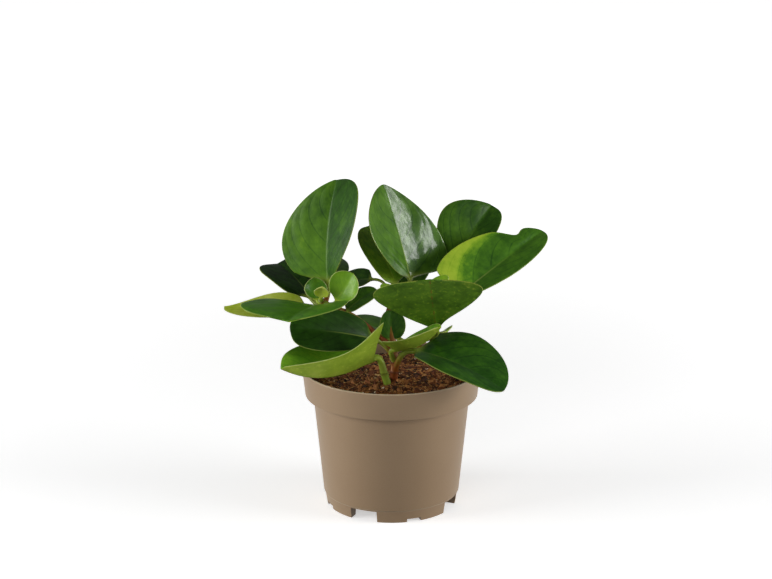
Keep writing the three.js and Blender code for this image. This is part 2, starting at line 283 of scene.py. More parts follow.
class Shader(Tree):
    """A material's node tree: a Principled surface with a bump."""

    def __init__(self, name: str) -> None:
        """Makes the material and its empty tree.

        Args:
            name: the material's name.
        """
        self.material = bpy.data.materials.new(name)
        self.material.use_nodes = True
        super().__init__(self.material.node_tree)

    def place(self) -> Value:
        """Object coordinates."""
        return self.add("ShaderNodeTexCoord", output="Object")

    def attribute(self, name: str) -> tuple[Value, Value, Value]:
        """Reads a vector attribute.

        Args:
            name: the attribute's name.

        Returns:
            Its three numbers, of which a piece may leave the last at 0.
        """
        read = self.add("ShaderNodeAttribute", {"attribute_name": name}, output="Vector")
        split = self.add("ShaderNodeSeparateXYZ", sockets={0: read})
        return split, split.out("Y"), split.out("Z")

    def noise(self, where: Value, scale: float, detail: float = 2.0, roughness: float = 0.5) -> Value:
        """Noise from 0 to 1 over the surface.

        Args:
            where: coordinates.
            scale: how many swells there are in a metre.
            detail: how many finer layers there are.
            roughness: how strong the finer layers are.

        Returns:
            The noise.
        """
        sockets = {"Vector": where, "Scale": scale, "Detail": detail, "Roughness": roughness}
        return self.add("ShaderNodeTexNoise", {"noise_dimensions": "3D"}, sockets)

    def ramp(self, place: Value, shades: Sequence[Colour], stops: Sequence[float] = ()) -> Value:
        """Runs through colours as the place goes from 0 to 1.

        Args:
            place: where on the ramp.
            shades: the colours.
            stops: where each of them lies, or nothing for evenly spread ones.

        Returns:
            The colour.
        """
        spots = stops or [k / (len(shades) - 1) for k in range(len(shades))]
        return self.add("ShaderNodeValToRGB", {"stops": list(zip(spots, shades))}, {"Fac": place})

    def surface(self, colour: Feed, roughness: Feed, height: Value | None = None,
                depth: float = 0.0, others: dict[str, Feed] | None = None) -> bpy.types.Material:
        """Finishes the material.

        Args:
            colour: the base colour.
            roughness: the roughness.
            height: what the bump follows, from 0 to 1, or None for no bump.
            depth: the bump's height in metres.
            others: what the surface's other sockets are set or linked to, by name.

        Returns:
            The material.
        """
        sockets = {"Base Color": colour, "Roughness": roughness, **(others or {})}
        if height is not None:
            relief = {"Height": height, "Distance": depth, "Strength": 1.0}
            sockets["Normal"] = self.add("ShaderNodeBump", sockets=relief)
        shader = self.add("ShaderNodeBsdfPrincipled", sockets=sockets)
        self.add("ShaderNodeOutputMaterial", sockets={"Surface": shader})
        return self.material


def linked(name: str, data: bpy.types.ID) -> bpy.types.Object:
    """Puts a mesh, a light or a camera into the scene.

    Args:
        name: the object's name.
        data: what it holds.

    Returns:
        The object, at the origin.
    """
    made = bpy.data.objects.new(name, data)
    bpy.context.scene.collection.objects.link(made)
    return made


def new_mesh(name: str, points: Array, edges: Faces = (), faces: Faces = ()) -> bpy.types.Object:
    """Puts a mesh of points, edges and faces into the scene, at the origin.

    Args:
        name: the object's name.
        points: places in millimetres, three numbers each.
        edges: the point numbers of each loose edge.
        faces: the point numbers of each face.

    Returns:
        The object.
    """
    mesh = bpy.data.meshes.new(name)
    mesh.from_pydata((points.reshape(-1, 3) * MM).tolist(), list(edges), list(faces))
    return linked(name, mesh)


def new_solid(name: str, points: Array, faces: Faces) -> bpy.types.Object:
    """Puts a smooth closed solid into the scene, with its faces outwards.

    Args:
        name: the object's name.
        points: places in millimetres, three numbers each.
        faces: the point numbers of each face.

    Returns:
        The solid.
    """
    made = new_mesh(name, points, faces=faces)
    made.data.validate()
    if enclosed(made.data) < 0:
        made.data.flip_normals()
    made.data.polygons.foreach_set("use_smooth", [True] * len(made.data.polygons))
    return made


def tube_faces(rings: int, around: int) -> list[tuple[int, ...]]:
    """Faces of a closed tube.

    Args:
        rings: how many rings it has.
        around: how many points each ring has.

    Returns:
        The faces, with one face over each end.
    """
    faces: list[tuple[int, ...]] = []
    for i in range(rings - 1):
        for j in range(around):
            k = (j + 1) % around
            faces.append((i * around + j, i * around + k, (i + 1) * around + k, (i + 1) * around + j))
    faces.append(tuple(reversed(range(around))))
    faces.append(tuple(range((rings - 1) * around, rings * around)))
    return faces


def new_tube(name: str, rings: Array) -> bpy.types.Object:
    """Puts a closed solid that is skinned over rings of points into the scene.

    Args:
        name: the object's name.
        rings: points in millimetres, by ring, place around it and axis.

    Returns:
        The solid.
    """
    return new_solid(name, rings, tube_faces(len(rings), rings.shape[1]))


def turned(section: Array, around: int) -> Array:
    """Turns a section about the upright axis.

    Args:
        section: rows of radius and height.
        around: how many points each ring has.

    Returns:
        The points, by ring, place around it and axis.
    """
    angle = np.arange(around) / around * 2 * math.pi
    radius = section[:, :1]
    height = np.repeat(section[:, 1:], around, axis=1)
    return np.stack([radius * np.cos(angle), radius * np.sin(angle), height], axis=-1)


def evaluated_mesh(host: bpy.types.Object) -> bpy.types.Mesh:
    """Bakes an object's modifiers.

    Args:
        host: the object.

    Returns:
        The plain mesh that its modifiers make.
    """
    graph = bpy.context.evaluated_depsgraph_get()
    graph.update()
    return bpy.data.meshes.new_from_object(host.evaluated_get(graph), depsgraph=graph)


def enclosed(mesh: bpy.types.Mesh) -> float:
    """Measures the volume inside a closed mesh.

    Args:
        mesh: the mesh.

    Returns:
        The volume in cubic metres, negative where its faces point inwards.
    """
    mesh.calc_loop_triangles()
    corners = np.zeros(len(mesh.loop_triangles) * 3, np.int32)
    mesh.loop_triangles.foreach_get("vertices", corners)
    places = np.zeros(len(mesh.vertices) * 3)
    mesh.vertices.foreach_get("co", places)
    a, b, c = places.reshape(-1, 3)[corners.reshape(-1, 3)].transpose(1, 0, 2)
    return float(np.einsum("ij,ij->i", a, np.cross(b, c)).sum() / 6)


def set_attribute(piece: bpy.types.Object, name: str, values: Array) -> None:
    """Stores up to three numbers for each vertex.

    Args:
        piece: the mesh object.
        name: the attribute's name.
        values: the numbers, the last axis being which of the three.
    """
    rows = values.reshape(-1, values.shape[-1])
    vectors = np.zeros((len(rows), 3), np.float32)
    vectors[:, :rows.shape[1]] = rows
    attribute = piece.data.attributes.new(name, "FLOAT_VECTOR", "POINT")
    attribute.data.foreach_set("vector", vectors.ravel())


def seat(piece: bpy.types.Object, material: bpy.types.Material | None, slot: Slot,
         *nodes: str) -> bpy.types.Object:
    """Dresses a finished piece and ties it to the frame.

    Args:
        piece: the mesh object.
        material: its material, or None where its nodes have set it.
        slot: not used.
        nodes: the CAD nodes that it stands for.

    Returns:
        The piece.
    """
    if material is not None:
        piece.data.materials.clear()
        piece.data.materials.append(material)
    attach(piece, "root")
    if nodes:
        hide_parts(*nodes)
    LOG.info("%s: %d faces", piece.name, len(piece.data.polygons))
    return piece


class Recipe(Tree):
    """A Geometry Nodes tree with named inputs, run once on an object and left as a plain mesh."""

    def __init__(self, name: str) -> None:
        """Makes the tree with a geometry input and output.

        Args:
            name: the tree's name.
        """
        self.group = bpy.data.node_groups.new(name, "GeometryNodeTree")
        self.group.is_modifier = True
        super().__init__(self.group)
        self.named: dict[str, Feed] = {}
        self.group.interface.new_socket("Geometry", in_out="INPUT", socket_type="NodeSocketGeometry")
        self.group.interface.new_socket("Geometry", in_out="OUTPUT", socket_type="NodeSocketGeometry")
        self.entry = self.tree.nodes.new("NodeGroupInput")

    def geometry(self) -> Value:
        """The geometry that the tree is run on."""
        return Value(self, self.entry.outputs["Geometry"])

    def number(self, name: str, value: float | int) -> Value:
        """Adds a named input.

        Args:
            name: what the input is called.
            value: what it is set to.

        Returns:
            The input, for use in the tree.
        """
        kind = "NodeSocketInt" if isinstance(value, int) else "NodeSocketFloat"
        self.group.interface.new_socket(name, in_out="INPUT", socket_type=kind)
        self.named[name] = value
        return Value(self, self.entry.outputs[name])

    def spread(self, low: Feed, high: Feed, seed: int, kind: str = "FLOAT") -> Value:
        """A random number or vector for each point or instance.

        Args:
            low: the least it can be.
            high: the most it can be.
            seed: which draw it is.
            kind: FLOAT or FLOAT_VECTOR.

        Returns:
            The random value.
        """
        keys = {"FLOAT": ("Min_001", "Max_001", 1), "FLOAT_VECTOR": ("Min", "Max", 0)}
        least, most, output = keys[kind]
        sockets = {least: low, most: high, "Seed": seed + SEED}
        return self.add("FunctionNodeRandomValue", {"data_type": kind}, sockets, output)

    def push(self, scale: float, detail: float, reach: Point) -> Value:
        """A smooth random push for each point.

        Args:
            scale: how many swells there are in a unit.
            detail: how many finer layers there are.
            reach: how strong it is along each axis.

        Returns:
            The push.
        """
        noise = self.add("ShaderNodeTexNoise", sockets={"Scale": scale, "Detail": detail}, output="Color")
        return self.vector("MULTIPLY", self.vector("SUBTRACT", noise, (0.5, 0.5, 0.5)), reach)

    def finish(self, geometry: Value, material: bpy.types.Material) -> None:
        """Ends the tree with real geometry and a material.

        Args:
            geometry: what the tree has made.
            material: its material.
        """
        real = self.add("GeometryNodeRealizeInstances", sockets={"Geometry": geometry})
        dressed = self.add("GeometryNodeSetMaterial", sockets={"Geometry": real, "Material": material})
        self.add("NodeGroupOutput", sockets={"Geometry": dressed})

    def run(self, host: bpy.types.Object, name: str) -> bpy.types.Object:
        """Runs the tree on an object.

        Args:
            host: the object whose mesh goes in.
            name: what the result is called.

        Returns:
            A new object that holds the result as a plain mesh.
        """
        modifier = host.modifiers.new(self.group.name, "NODES")
        modifier.node_group = self.group
        for item in self.group.interface.items_tree:
            if item.in_out == "INPUT" and item.name in self.named:
                modifier[item.identifier] = self.named[item.name]
        mesh = evaluated_mesh(host)
        mesh.name = name
        host.modifiers.remove(modifier)
        return linked(name, mesh)


class Route:
    """A smooth curve through points, measured evenly along its length."""

    SAMPLES = 200

    def __init__(self, points: Sequence[Point]) -> None:
        """Lays a centripetal Catmull-Rom curve through the points.

        Args:
            points: the places that it passes, in millimetres.
        """
        given = np.array(points, float)
        before = 2 * given[0] - given[1]
        after = 2 * given[-1] - given[-2]
        self.knots = np.vstack([before, given, after])
        places = np.linspace(0, len(given) - 1, self.SAMPLES + 1)
        self.samples = np.array([self.between(place) for place in places])
        steps = np.linalg.norm(np.diff(self.samples, axis=0), axis=1)
        self.travelled = np.concatenate([[0], np.cumsum(steps)])
        self.length = float(self.travelled[-1])

    def between(self, place: float) -> Array:
        """Finds a point between the given ones.

        Args:
            place: where, counted in given points from the start.

        Returns:
            The point.
        """
        start = min(int(place), len(self.knots) - 4)
        w = place - start
        p0, p1, p2, p3 = self.knots[start:start + 4]
        d0, d1, d2 = (math.sqrt(np.linalg.norm(b - a)) for a, b in ((p0, p1), (p1, p2), (p2, p3)))
        leave = ((p1 - p0) / d0 - (p2 - p0) / (d0 + d1) + (p2 - p1) / d1) * d1
        arrive = ((p2 - p1) / d1 - (p3 - p1) / (d1 + d2) + (p3 - p2) / d2) * d1
        square = -3 * p1 + 3 * p2 - 2 * leave - arrive
        cube = 2 * p1 - 2 * p2 + leave + arrive
        return p1 + leave * w + square * w ** 2 + cube * w ** 3

    def at(self, shares: float | Array) -> Array:
        """Finds points by how far along the curve they are.

        Args:
            shares: shares of its length.

        Returns:
            The points, the last axis being x, y and z.
        """
        wanted = np.asarray(shares) * self.length
        axes = [np.interp(wanted, self.travelled, self.samples[:, k]) for k in range(3)]
        return np.stack(axes, axis=-1)


def unit(rows: Array) -> Array:
    """Scales each row to length 1."""
    return rows / np.linalg.norm(rows, axis=-1, keepdims=True)


def bezier(points: Sequence[Array], shares: Array) -> tuple[Array, Array]:
    """Runs along a Bezier curve.

    Args:
        points: the points that it starts from, is drawn towards, and ends at.
        shares: places along it, from 0 to 1.

    Returns:
        The curve's points and its directions, a row for each place.
    """
    share = shares[:, None]
    rows = [point + 0 * share for point in points]
    while len(rows) > 2:
        rows = [a + (b - a) * share for a, b in zip(rows, rows[1:])]
    return rows[0] + (rows[1] - rows[0]) * share, rows[1] - rows[0]


@dataclass(frozen=True)
class StemSkin:
    """Smooth succulent stem skin, reddish brown below and greener towards the shoots."""

    name: str = "stem skin"
    low: Colour = linear("7c3d16")
    high: Colour = linear("8a6c28")
    ring: Colour = linear("4a210c")
    fleck: Colour = linear("c08846")
    roughness: float = 0.5
    specular: float = 0.3
    mottle_scale: float = 180.0
    streak_scale: Point = (900.0, 900.0, 120.0)
    streaking: float = 0.55
    ringing: float = 0.7
    grain: float = 0.0003

    def material(self) -> bpy.types.Material:
        """Builds the material.

        Returns:
            The material.
        """
        shader = Shader(self.name)
        share, swell = shader.attribute("stem_place")[:2]
        where = shader.place()
        mottle = shader.noise(where, self.mottle_scale, 4, 0.6)
        streaks = shader.noise(shader.vector("MULTIPLY", where, self.streak_scale), 1.0, 3)
        green = (share + (mottle - 0.5) * 0.9).eased(0.2, 0.95)
        body = shader.mix(green, self.low, self.high)
        body = shader.mix(streaks.eased(0.52, 0.75) * self.streaking, body, self.fleck)
        body = shader.mix(swell.eased(0.55, 1.0) * self.ringing, body, self.ring)
        height = streaks * 0.7 + mottle * 0.3
        rough = self.roughness + (mottle - 0.5) * 0.25
        return shader.surface(body, rough, height, self.grain, {"Specular IOR Level": self.specular})


@dataclass(frozen=True)
class Stem:
    """A stem: a round section run along a smooth route, thinner towards its end. Millimetres."""

    node: str
    route: tuple[Point, ...]
    radius: Pair
    green: bool = False
    rounded: bool = True
    joints: tuple[float, ...] = ()
    sides: int = 28
    step: float = 0.6
    swelling: float = 0.2
    swelling_length: float = 1.7
    rounding: float = 1.5
    blunt_end: float = 0.35
    lump: float = 0.3
    lump_scale: float = 300.0

    def build(self, skin: bpy.types.Material) -> bpy.types.Object:
        """Builds the stem with a swelling where each leaf leaves it.

        Args:
            skin: its material.

        Returns:
            The stem.
        """
        line = Route(self.route)
        shares = np.linspace(0, 1, int(line.length / self.step) + 1)
        swell = np.zeros(len(shares))
        for place in self.joints:
            away = (shares - place) * line.length / self.swelling_length
            swell = np.maximum(swell, np.exp(-away ** 2))
        edges = [(k, k + 1) for k in range(len(shares) - 1)]
        host = new_mesh(f"{self.node}_route", line.at(shares), edges=edges)
        set_attribute(host, "stem_place", np.stack([shares, swell], axis=-1))
        piece = self.recipe(line.length, skin).run(host, f"{self.node}_skin")
        bpy.data.objects.remove(host)
        return seat(piece, None, Slot.STEM, self.node)

    def recipe(self, length: float, skin: bpy.types.Material) -> Recipe:
        """The tree that turns the route into a stem.

        Args:
            length: the route's length in millimetres.
            skin: the stem's material.

        Returns:
            The tree, to be run on the route.
        """
        recipe = Recipe(f"grow {self.node}")
        foot = recipe.number("Foot radius", self.radius[0] * MM)
        end = recipe.number("End radius", self.radius[1] * MM)
        swelling = recipe.number("Swelling", self.swelling)
        rounding = recipe.number("Rounding", self.rounding * MM)
        lump = recipe.number("Lump", self.lump * MM)
        sides = recipe.number("Sides", self.sides)
        stored = recipe.add("GeometryNodeInputNamedAttribute", {"data_type": "FLOAT_VECTOR"},
                            {"Name": "stem_place"})
        share = recipe.add("ShaderNodeSeparateXYZ", sockets={0: stored})
        girth = (share * (end - foot) + foot) * (share.out("Y") * swelling + 1.0)
        if self.rounded:
            closing = ((1.0 - share) * (length * MM)).eased(0.0, rounding)
            girth = girth * (closing ** 0.5 * (1.0 - self.blunt_end) + self.blunt_end)
        curve = recipe.add("GeometryNodeMeshToCurve", sockets={"Mesh": recipe.geometry()})
        section = recipe.add("GeometryNodeCurvePrimitiveCircle", sockets={
            "Resolution": sides, "Radius": 1.0})
        tube = recipe.add("GeometryNodeCurveToMesh", sockets={
            "Curve": curve, "Profile Curve": section, "Scale": girth, "Fill Caps": True})
        noise = recipe.add("ShaderNodeTexNoise", sockets={"Scale": self.lump_scale, "Detail": 1.0})
        push = recipe.scaled(recipe.add("GeometryNodeInputNormal"), (noise - 0.5) * lump)
        lumpy = recipe.add("GeometryNodeSetPosition", sockets={"Geometry": tube, "Offset": push})
        recipe.finish(recipe.add("GeometryNodeSetShadeSmooth", sockets={"Geometry": lumpy}), skin)
        return recipe


@dataclass(frozen=True)
class Palette:
    """The colours that a leaf's skin runs through, darkest first, and those of its details."""

    name: str
    upper: tuple[Colour, ...]
    under: tuple[Colour, ...]
    rib: Colour
    margin: Colour
    petiole: Colour
    foot: Colour
    blush: Colour


@dataclass(frozen=True)
class LeafSkin:
    """Thick leaf skin over sunken veins, with a pale midrib, a thin pale margin and a waxy gloss.

    The gloss is a coat that is thinner in patches. The patches and the fine wrinkles run along the
    leaf, and are given in millimetres, as are the midrib and the margin, each by where it is full
    and where it has faded out. The margin's pale band is partly its own colour and partly a painted
    highlight where the rounded edge catches light. Scales count swells in a metre, finest last.
    """

    palette: Palette
    upper_roughness: float = 0.36
    under_roughness: float = 0.5
    specular: float = 0.12
    coat_roughness: float = 0.13
    cool_tint: Colour = (0.66, 0.98, 0.85)
    patch: float = 7.0
    wrinkle: float = 1.7
    stretch: float = 0.5
    scales: tuple[float, ...] = (38.0, 170.0, 420.0)
    mottling: tuple[float, ...] = (0.36, 0.3, 0.12)
    patch_mottling: float = 0.24
    under_mottle: float = 2.0
    vein_darkness: float = 0.11
    rib: Pair = (0.2, 0.7)
    margin: Pair = (0.15, 0.55)
    margin_and_highlight_strength: float = 0.5
    under_gloss: float = 0.4
    thin_gloss: float = 0.25
    grain: float = 0.00005

    def material(self) -> bpy.types.Material:
        """Builds the material.

        Returns:
            The material.
        """
        shader = Shader(self.palette.name)
        along, under = shader.attribute("leaf_place")[:2]
        to_rib, to_margin, phase = shader.attribute("leaf_measure")
        # Tone and shade: the leaf's own colour, with painted shade on leaves and halves that lie in shade.
        tone_and_shade, blush, rib_paleness = shader.attribute("leaf_tone_and_shade")
        span_across, span_along, flush_and_backlight = shader.attribute("leaf_span")
        shine, cool = shader.attribute("leaf_finish")[:2]
        where = shader.place()
        span = shader.add("ShaderNodeCombineXYZ", sockets={0: span_across, 1: span_along * self.stretch})
        broad = shader.noise(where, self.scales[0], 3, 0.55)
        blotch = shader.noise(where, self.scales[1], 5, 0.65)
        fine = shader.noise(where, self.scales[2], 3, 0.6)
        wrinkles = shader.noise(span, 1 / self.wrinkle, 2, 0.55)
        patches = shader.noise(span, 1 / self.patch, 3, 0.6)
        vein = abs(phase.fraction() - 0.5) * 2.0
        groove = vein.eased(0.86, 1.0) * to_rib.eased(0.6, 3.0) * to_margin.eased(0.5, 2.5)
        shaft = (0.0 - along).eased(-0.16, 0.04)
        blade = shaft.eased(0.6, 0.1)
        # Flush: the left half painted yellower and brighter towards its base, partly its own yellow and
        # partly painted light shining through the leaf.
        tone_and_shade = tone_and_shade + flush_and_backlight * (broad * 0.6 + blotch * 0.6 + flush_and_backlight * 0.5 - 0.1).eased(0.2, 0.8)
        mottle = (patches - 0.5) * self.patch_mottling
        for noise, share in zip((broad, blotch, fine), self.mottling):
            mottle = mottle + (noise - 0.5) * share
        upper = shader.ramp(tone_and_shade + mottle - groove * self.vein_darkness, self.palette.upper)
        upper = shader.mix(cool, upper, self.cool_tint, "MULTIPLY")
        flecks = fine.eased(0.56, 0.72) * 0.17 - 0.025
        below = shader.ramp(tone_and_shade + (mottle + flecks) * self.under_mottle, self.palette.under)
        on_rib = 1.0 - to_rib.eased(*self.rib)
        below = shader.mix(on_rib * fine.eased(0.45, 0.6) * 0.6, below, self.palette.blush)
        colour = shader.mix(under.eased(0.3, 0.7), upper, below)
        rib = on_rib * along.eased(0.75, 0.2) * blade * under.eased(0.6, 0.3)
        colour = shader.mix(rib * rib_paleness, colour, self.palette.rib)
        # The margin: partly the edge's own pale, reddish-tinged colour, partly a painted highlight where
        # the rounded edge catches light.
        edge = (1.0 - to_margin.eased(*self.margin)) * blade
        margin_colour_and_highlight = shader.mix(blush * broad.eased(0.4, 0.6), self.palette.margin, self.palette.blush)
        colour = shader.mix(edge * self.margin_and_highlight_strength, colour, margin_colour_and_highlight)
        towards_foot = (0.0 - along + (fine - 0.5) * 0.5).eased(0.3, 0.9)
        stalk = shader.mix(towards_foot, self.palette.petiole, self.palette.foot)
        colour = shader.mix(shaft.eased(0.1, 0.75), colour, stalk)
        rougher_below = under * (self.under_roughness - self.upper_roughness)
        rough = rougher_below + self.upper_roughness + (fine - 0.5) * 0.1
        speckle = (wrinkles * 0.6 + patches * 0.7).eased(0.5, 0.8)
        facing = 1.0 - under * (1 - self.under_gloss)
        coat = shine * facing * (self.thin_gloss + (1 - self.thin_gloss) * speckle)
        height = wrinkles * 0.75 + fine * 0.25
        others = {"Specular IOR Level": self.specular, "Coat Weight": coat,
                  "Coat Roughness": self.coat_roughness}
        return shader.surface(colour, rough, height, self.grain, others)


@dataclass(frozen=True)
class Leaf:
    """A leaf on its petiole, in millimetres and degrees.

    The blade runs from base to tip with its upper side towards face. Pairs hold the values of the
    left and the right half, seen from above with the tip away from the viewer.

    Attributes:
        stem: the stem that carries it, at a share at of the stem's length.
        half: how wide each half is, at the share widest of the blade's length.
        fold: how far each half is folded up, and cup: how late in its width that happens.
        arch: how far the blade's middle stands above the line from base to tip.
        blunt: how the outline closes at the tip, smaller for a blunter one.
        sweep: how far the margin is swept back, for each millimetre from the midrib.
        dent: a notch in the margin: which half, its place, depth and length.
        petiole: the petiole's radius.
        tone_and_shade: which colour of the palette each half has, from 0 to 1: partly the leaf's own
        colour, partly painted shade on leaves and halves that lie in shade.
        flush_and_backlight: how much yellower and brighter the left half is towards its base: partly
        its own yellow, partly painted light shining through the leaf.
        blush, rib, shine, cool: how reddish the margin is, how pale the midrib, how glossy the
            skin, and how bluish the upper side.
        veins: how many there are on each side, and rise: how steeply they run to the margin.
        quilt, camber, flute, wave: how high the skin swells between the veins, across each half, in
            long folds, and at the margin.
    """

    node: str
    stem: str
    at: float
    base: Point
    tip: Point
    face: Point
    half: Pair
    fold: Pair
    arch: float
    widest: Pair
    petiole: float
    blunt: Pair = (0.5, 0.5)
    sweep: Pair = (0.0, 0.0)
    young: bool = False
    tone_and_shade: Pair = (0.35, 0.35)
    flush_and_backlight: float = 0.0
    blush: float = 0.1
    rib: float = 0.14
    shine: float = 0.2
    cool: float = 0.0
    cup: float = 1.0
    veins: float = 5.0
    rise: float = 0.38
    quilt: float = 0.15
    camber: Pair = (0.5, 0.5)
    flute: Pair = (0.1, 0.1)
    wave: float = 0.35
    dent: tuple[float, ...] = ()

    # Thickness at the midrib and at the edge, and the rounding of the edge.
    RIB: ClassVar[float] = 1.3
    EDGE: ClassVar[float] = 0.7
    ROUND: ClassVar[float] = 0.6
    ROUND_SHARE: ClassVar[float] = 0.45
    EDGE_TURN: ClassVar[tuple[float, ...]] = (22.5, 45.0, 67.5)
    # The groove over the midrib, and the keel under it.
    GROOVE: ClassVar[float] = 1.2
    GROOVE_DEPTH: ClassVar[float] = 0.3
    DEEPEST_RIB: ClassVar[float] = 0.3
    KEEL: ClassVar[float] = 0.45
    # How the petiole leaves the stem, runs into the blade and grows flat there.
    FOOT: ClassVar[float] = 1.3
    FOOT_LENGTH: ClassVar[float] = 4.0
    ARRIVE: ClassVar[float] = 0.4
    FLATTEN: ClassVar[float] = 0.12
    END: ClassVar[float] = 0.9995
    # How the relief is laid out, and how far apart the patterns of two leaves lie.
    VEIN_END: ClassVar[float] = 1.15
    FULL_RELIEF: ClassVar[float] = 25.0
    WAVES: ClassVar[float] = 1.7
    WAVE_SHIFTS: ClassVar[Pair] = (0.37, 11.0)
    FLUTE: ClassVar[float] = 20.0
    FLUTE_START: ClassVar[float] = 1.0
    FLUTE_BENDS: ClassVar[Pair] = (0.8, 5.0)
    SHIFT: ClassVar[float] = 50.0
    # Millimetres from point to point, and the least number of points.
    SHAFT_RINGS: ClassVar[tuple[float, int]] = (0.9, 6)
    BLADE_RINGS: ClassVar[tuple[float, int]] = (0.85, 24)
    COLUMNS: ClassVar[tuple[float, int]] = (1.1, 13)

    def build(self, stem: Stem, skin: bpy.types.Material) -> bpy.types.Object:
        """Builds the leaf.

        Args:
            stem: the stem that it grows from.
            skin: its material.

        Returns:
            The leaf.
        """
        base = np.array(self.base)
        tip = np.array(self.tip)
        along = unit(tip - base)
        right = unit(np.cross(along, self.face))
        up = np.cross(right, along)
        middle = (base + tip) / 2 + 2 * self.arch * up
        foot = Route(stem.route).at(self.at)
        arrive = base - self.ARRIVE * np.linalg.norm(base - foot) * unit(middle - base)
        leave = (foot + arrive) / 2
        shaft_rings = self.count(np.linalg.norm(base - foot), *self.SHAFT_RINGS)
        blade_rings = self.count(np.linalg.norm(tip - base), *self.BLADE_RINGS)
        shaft = np.linspace(0, 1, shaft_rings, endpoint=False)
        blade = np.sin(np.linspace(0, math.pi / 2, blade_rings))
        blade[-1] = self.END
        curves = bezier((foot, leave, arrive, base), shaft), bezier((base, middle, tip), blade)
        centres, ways = (np.vstack(rows) for rows in zip(*curves))
        place = np.concatenate([shaft - 1, blade])
        joint = stem.radius[1] if self.at >= 1 else self.petiole * self.FOOT
        from_foot = np.linalg.norm(centres - foot, axis=1) / self.FOOT_LENGTH
        girth = self.petiole + (joint - self.petiole) * np.exp(-from_foot ** 2)
        rings, marks = self.rings(centres, unit(ways), right, place, girth)
        piece = new_tube(f"{self.node}_blade", rings)
        for name, values in marks.items():
            set_attribute(piece, name, values)
        return seat(piece, skin, Slot.YOUNG if self.young else Slot.MATURE, self.node)

    @staticmethod
    def count(length: float, step: float, least: int) -> int:
        """How many rings a length takes."""
        return max(least, int(length / step))

    def columns(self) -> tuple[Array, Array, Array]:
        """Where the points of a ring lie: over the top from left to right, and back underneath.

        Returns:
            The signed share of the half width, the turn around the edge in radians, and 1 above
            and -1 below.
        """
        even = np.linspace(0, 1, self.count(sum(self.half), *self.COLUMNS) // 2 + 1)
        half = (np.sin(even * math.pi / 2) + even) / 2
        top = np.concatenate([-half[:0:-1], half])
        turn = np.radians(self.EDGE_TURN)
        ones = np.ones(len(turn))
        share = np.concatenate([top, ones, [1], ones, top[::-1], -ones, [-1], -ones])
        rounds = [turn, [math.pi / 2], turn[::-1]]
        angle = np.concatenate([0 * top, *rounds, 0 * top, *rounds])
        over = np.concatenate([0 * top + 1, ones, [0], -ones, 0 * top - 1, -ones, [0], ones])
        return share, angle, over

    def widths(self, place: Array) -> Array:
        """The half widths of the blade at each ring, left and right.

        Args:
            place: each ring's place, below 0 on the petiole and 0 to 1 along the blade.

        Returns:
            One row for each ring with two half widths.
        """
        s = np.clip(place, 0, 1)[:, None]
        widest = np.array(self.widest)
        blunt = np.array(self.blunt)
        power = blunt * widest / (1 - widest)
        spread = (s / widest) ** power * ((1 - s) / (1 - widest)) ** blunt
        width = self.petiole + (np.array(self.half) - self.petiole) * np.where(s > 0, spread, 0)
        if self.dent:
            side, middle, depth, reach = self.dent
            width[:, int(side)] *= 1 - depth * np.exp(-((s[:, 0] - middle) / reach) ** 2)
        return width

    def rings(self, centres: Array, ways: Array, hint: Array, place: Array,
              girth: Array) -> tuple[Array, dict[str, Array]]:
        """Lays the rings.

        Args:
            centres: the middle of each ring.
            ways: the direction along the leaf at each ring.
            hint: the direction to the right of the leaf.
            place: each ring's place, below 0 on the petiole and 0 to 1 along the blade.
            girth: the petiole's radius at each ring.

        Returns:
            The points in millimetres, by ring, place around it and axis, and what the skin reads
            there, by the attribute's name.
        """
        rights = unit(hint - ways * (ways @ hint)[:, None])
        ups = np.cross(rights, ways)
        share, angle, over = self.columns()
        side = (share >= 0).astype(int)
        s = np.broadcast_to(np.clip(place, 0, 1)[:, None], (len(place), len(share)))
        flat = smooth(place, 0, self.FLATTEN)[:, None]
        width = self.widths(place)[:, side]
        fold = np.radians(self.fold)[side]
        sweep = np.array(self.sweep)[side]
        rim = np.minimum(self.ROUND, width * self.ROUND_SHARE)
        reach = np.abs(share) * (width - rim) + rim * np.sin(angle)
        part = reach / width
        thick = self.RIB + (self.EDGE - self.RIB) * part
        phase = self.veins * (s + self.rise * np.log(1 - part / self.VEIN_END))
        groove = np.exp(-(reach / self.GROOVE) ** 2) * (1 - s)
        sunk = self.GROOVE_DEPTH * min(self.rib, self.DEEPEST_RIB)
        skin = thick / 2 * np.cos(angle) * over - np.where(over > 0, sunk, self.KEEL) * groove
        skin = skin + self.relief(s, part, reach, width - reach, phase, side)
        leaning = smooth(part, 0.05, 0.3)
        x = np.sign(share) * (reach * np.cos(fold) - skin * np.sin(fold) * leaning)
        z = width * part ** self.cup * np.sin(fold) + skin * (1 + (np.cos(fold) - 1) * leaning)
        round_x = girth[:, None] * np.sign(share) * part
        round_z = girth[:, None] * np.sqrt(np.clip(1 - part ** 2, 0, 1)) * np.sign(over)
        x = round_x + (x - round_x) * flat
        z = round_z + (z - round_z) * flat
        points = (centres[:, None] + x[..., None] * rights[:, None] + z[..., None] * ups[:, None]
                  - (sweep * reach * flat)[..., None] * ways[:, None])
        steps = np.linalg.norm(np.diff(centres, axis=0), axis=1)
        travelled = np.concatenate([[0], np.cumsum(steps)])
        marks = self.marks(share, over, reach, width - reach, phase, place, travelled)
        return points, marks

    def marks(self, share: Array, over: Array, reach: Array, left: Array, phase: Array,
              place: Array, travelled: Array) -> dict[str, Array]:
        """Works out what the skin reads at each point.

        Args:
            share: signed share of the half width, for each place around a ring.
            over: 1 above and -1 below, for each place around a ring.
            reach: millimetres from the midrib.
            left: millimetres to the margin.
            phase: which vein, whole numbers on the veins.
            place: each ring's place, below 0 on the petiole and 0 to 1 along the blade.
            travelled: millimetres from the petiole's foot to each ring.

        Returns:
            Two or three numbers for each point, by the attribute's name.
        """
        side = np.sign(share)
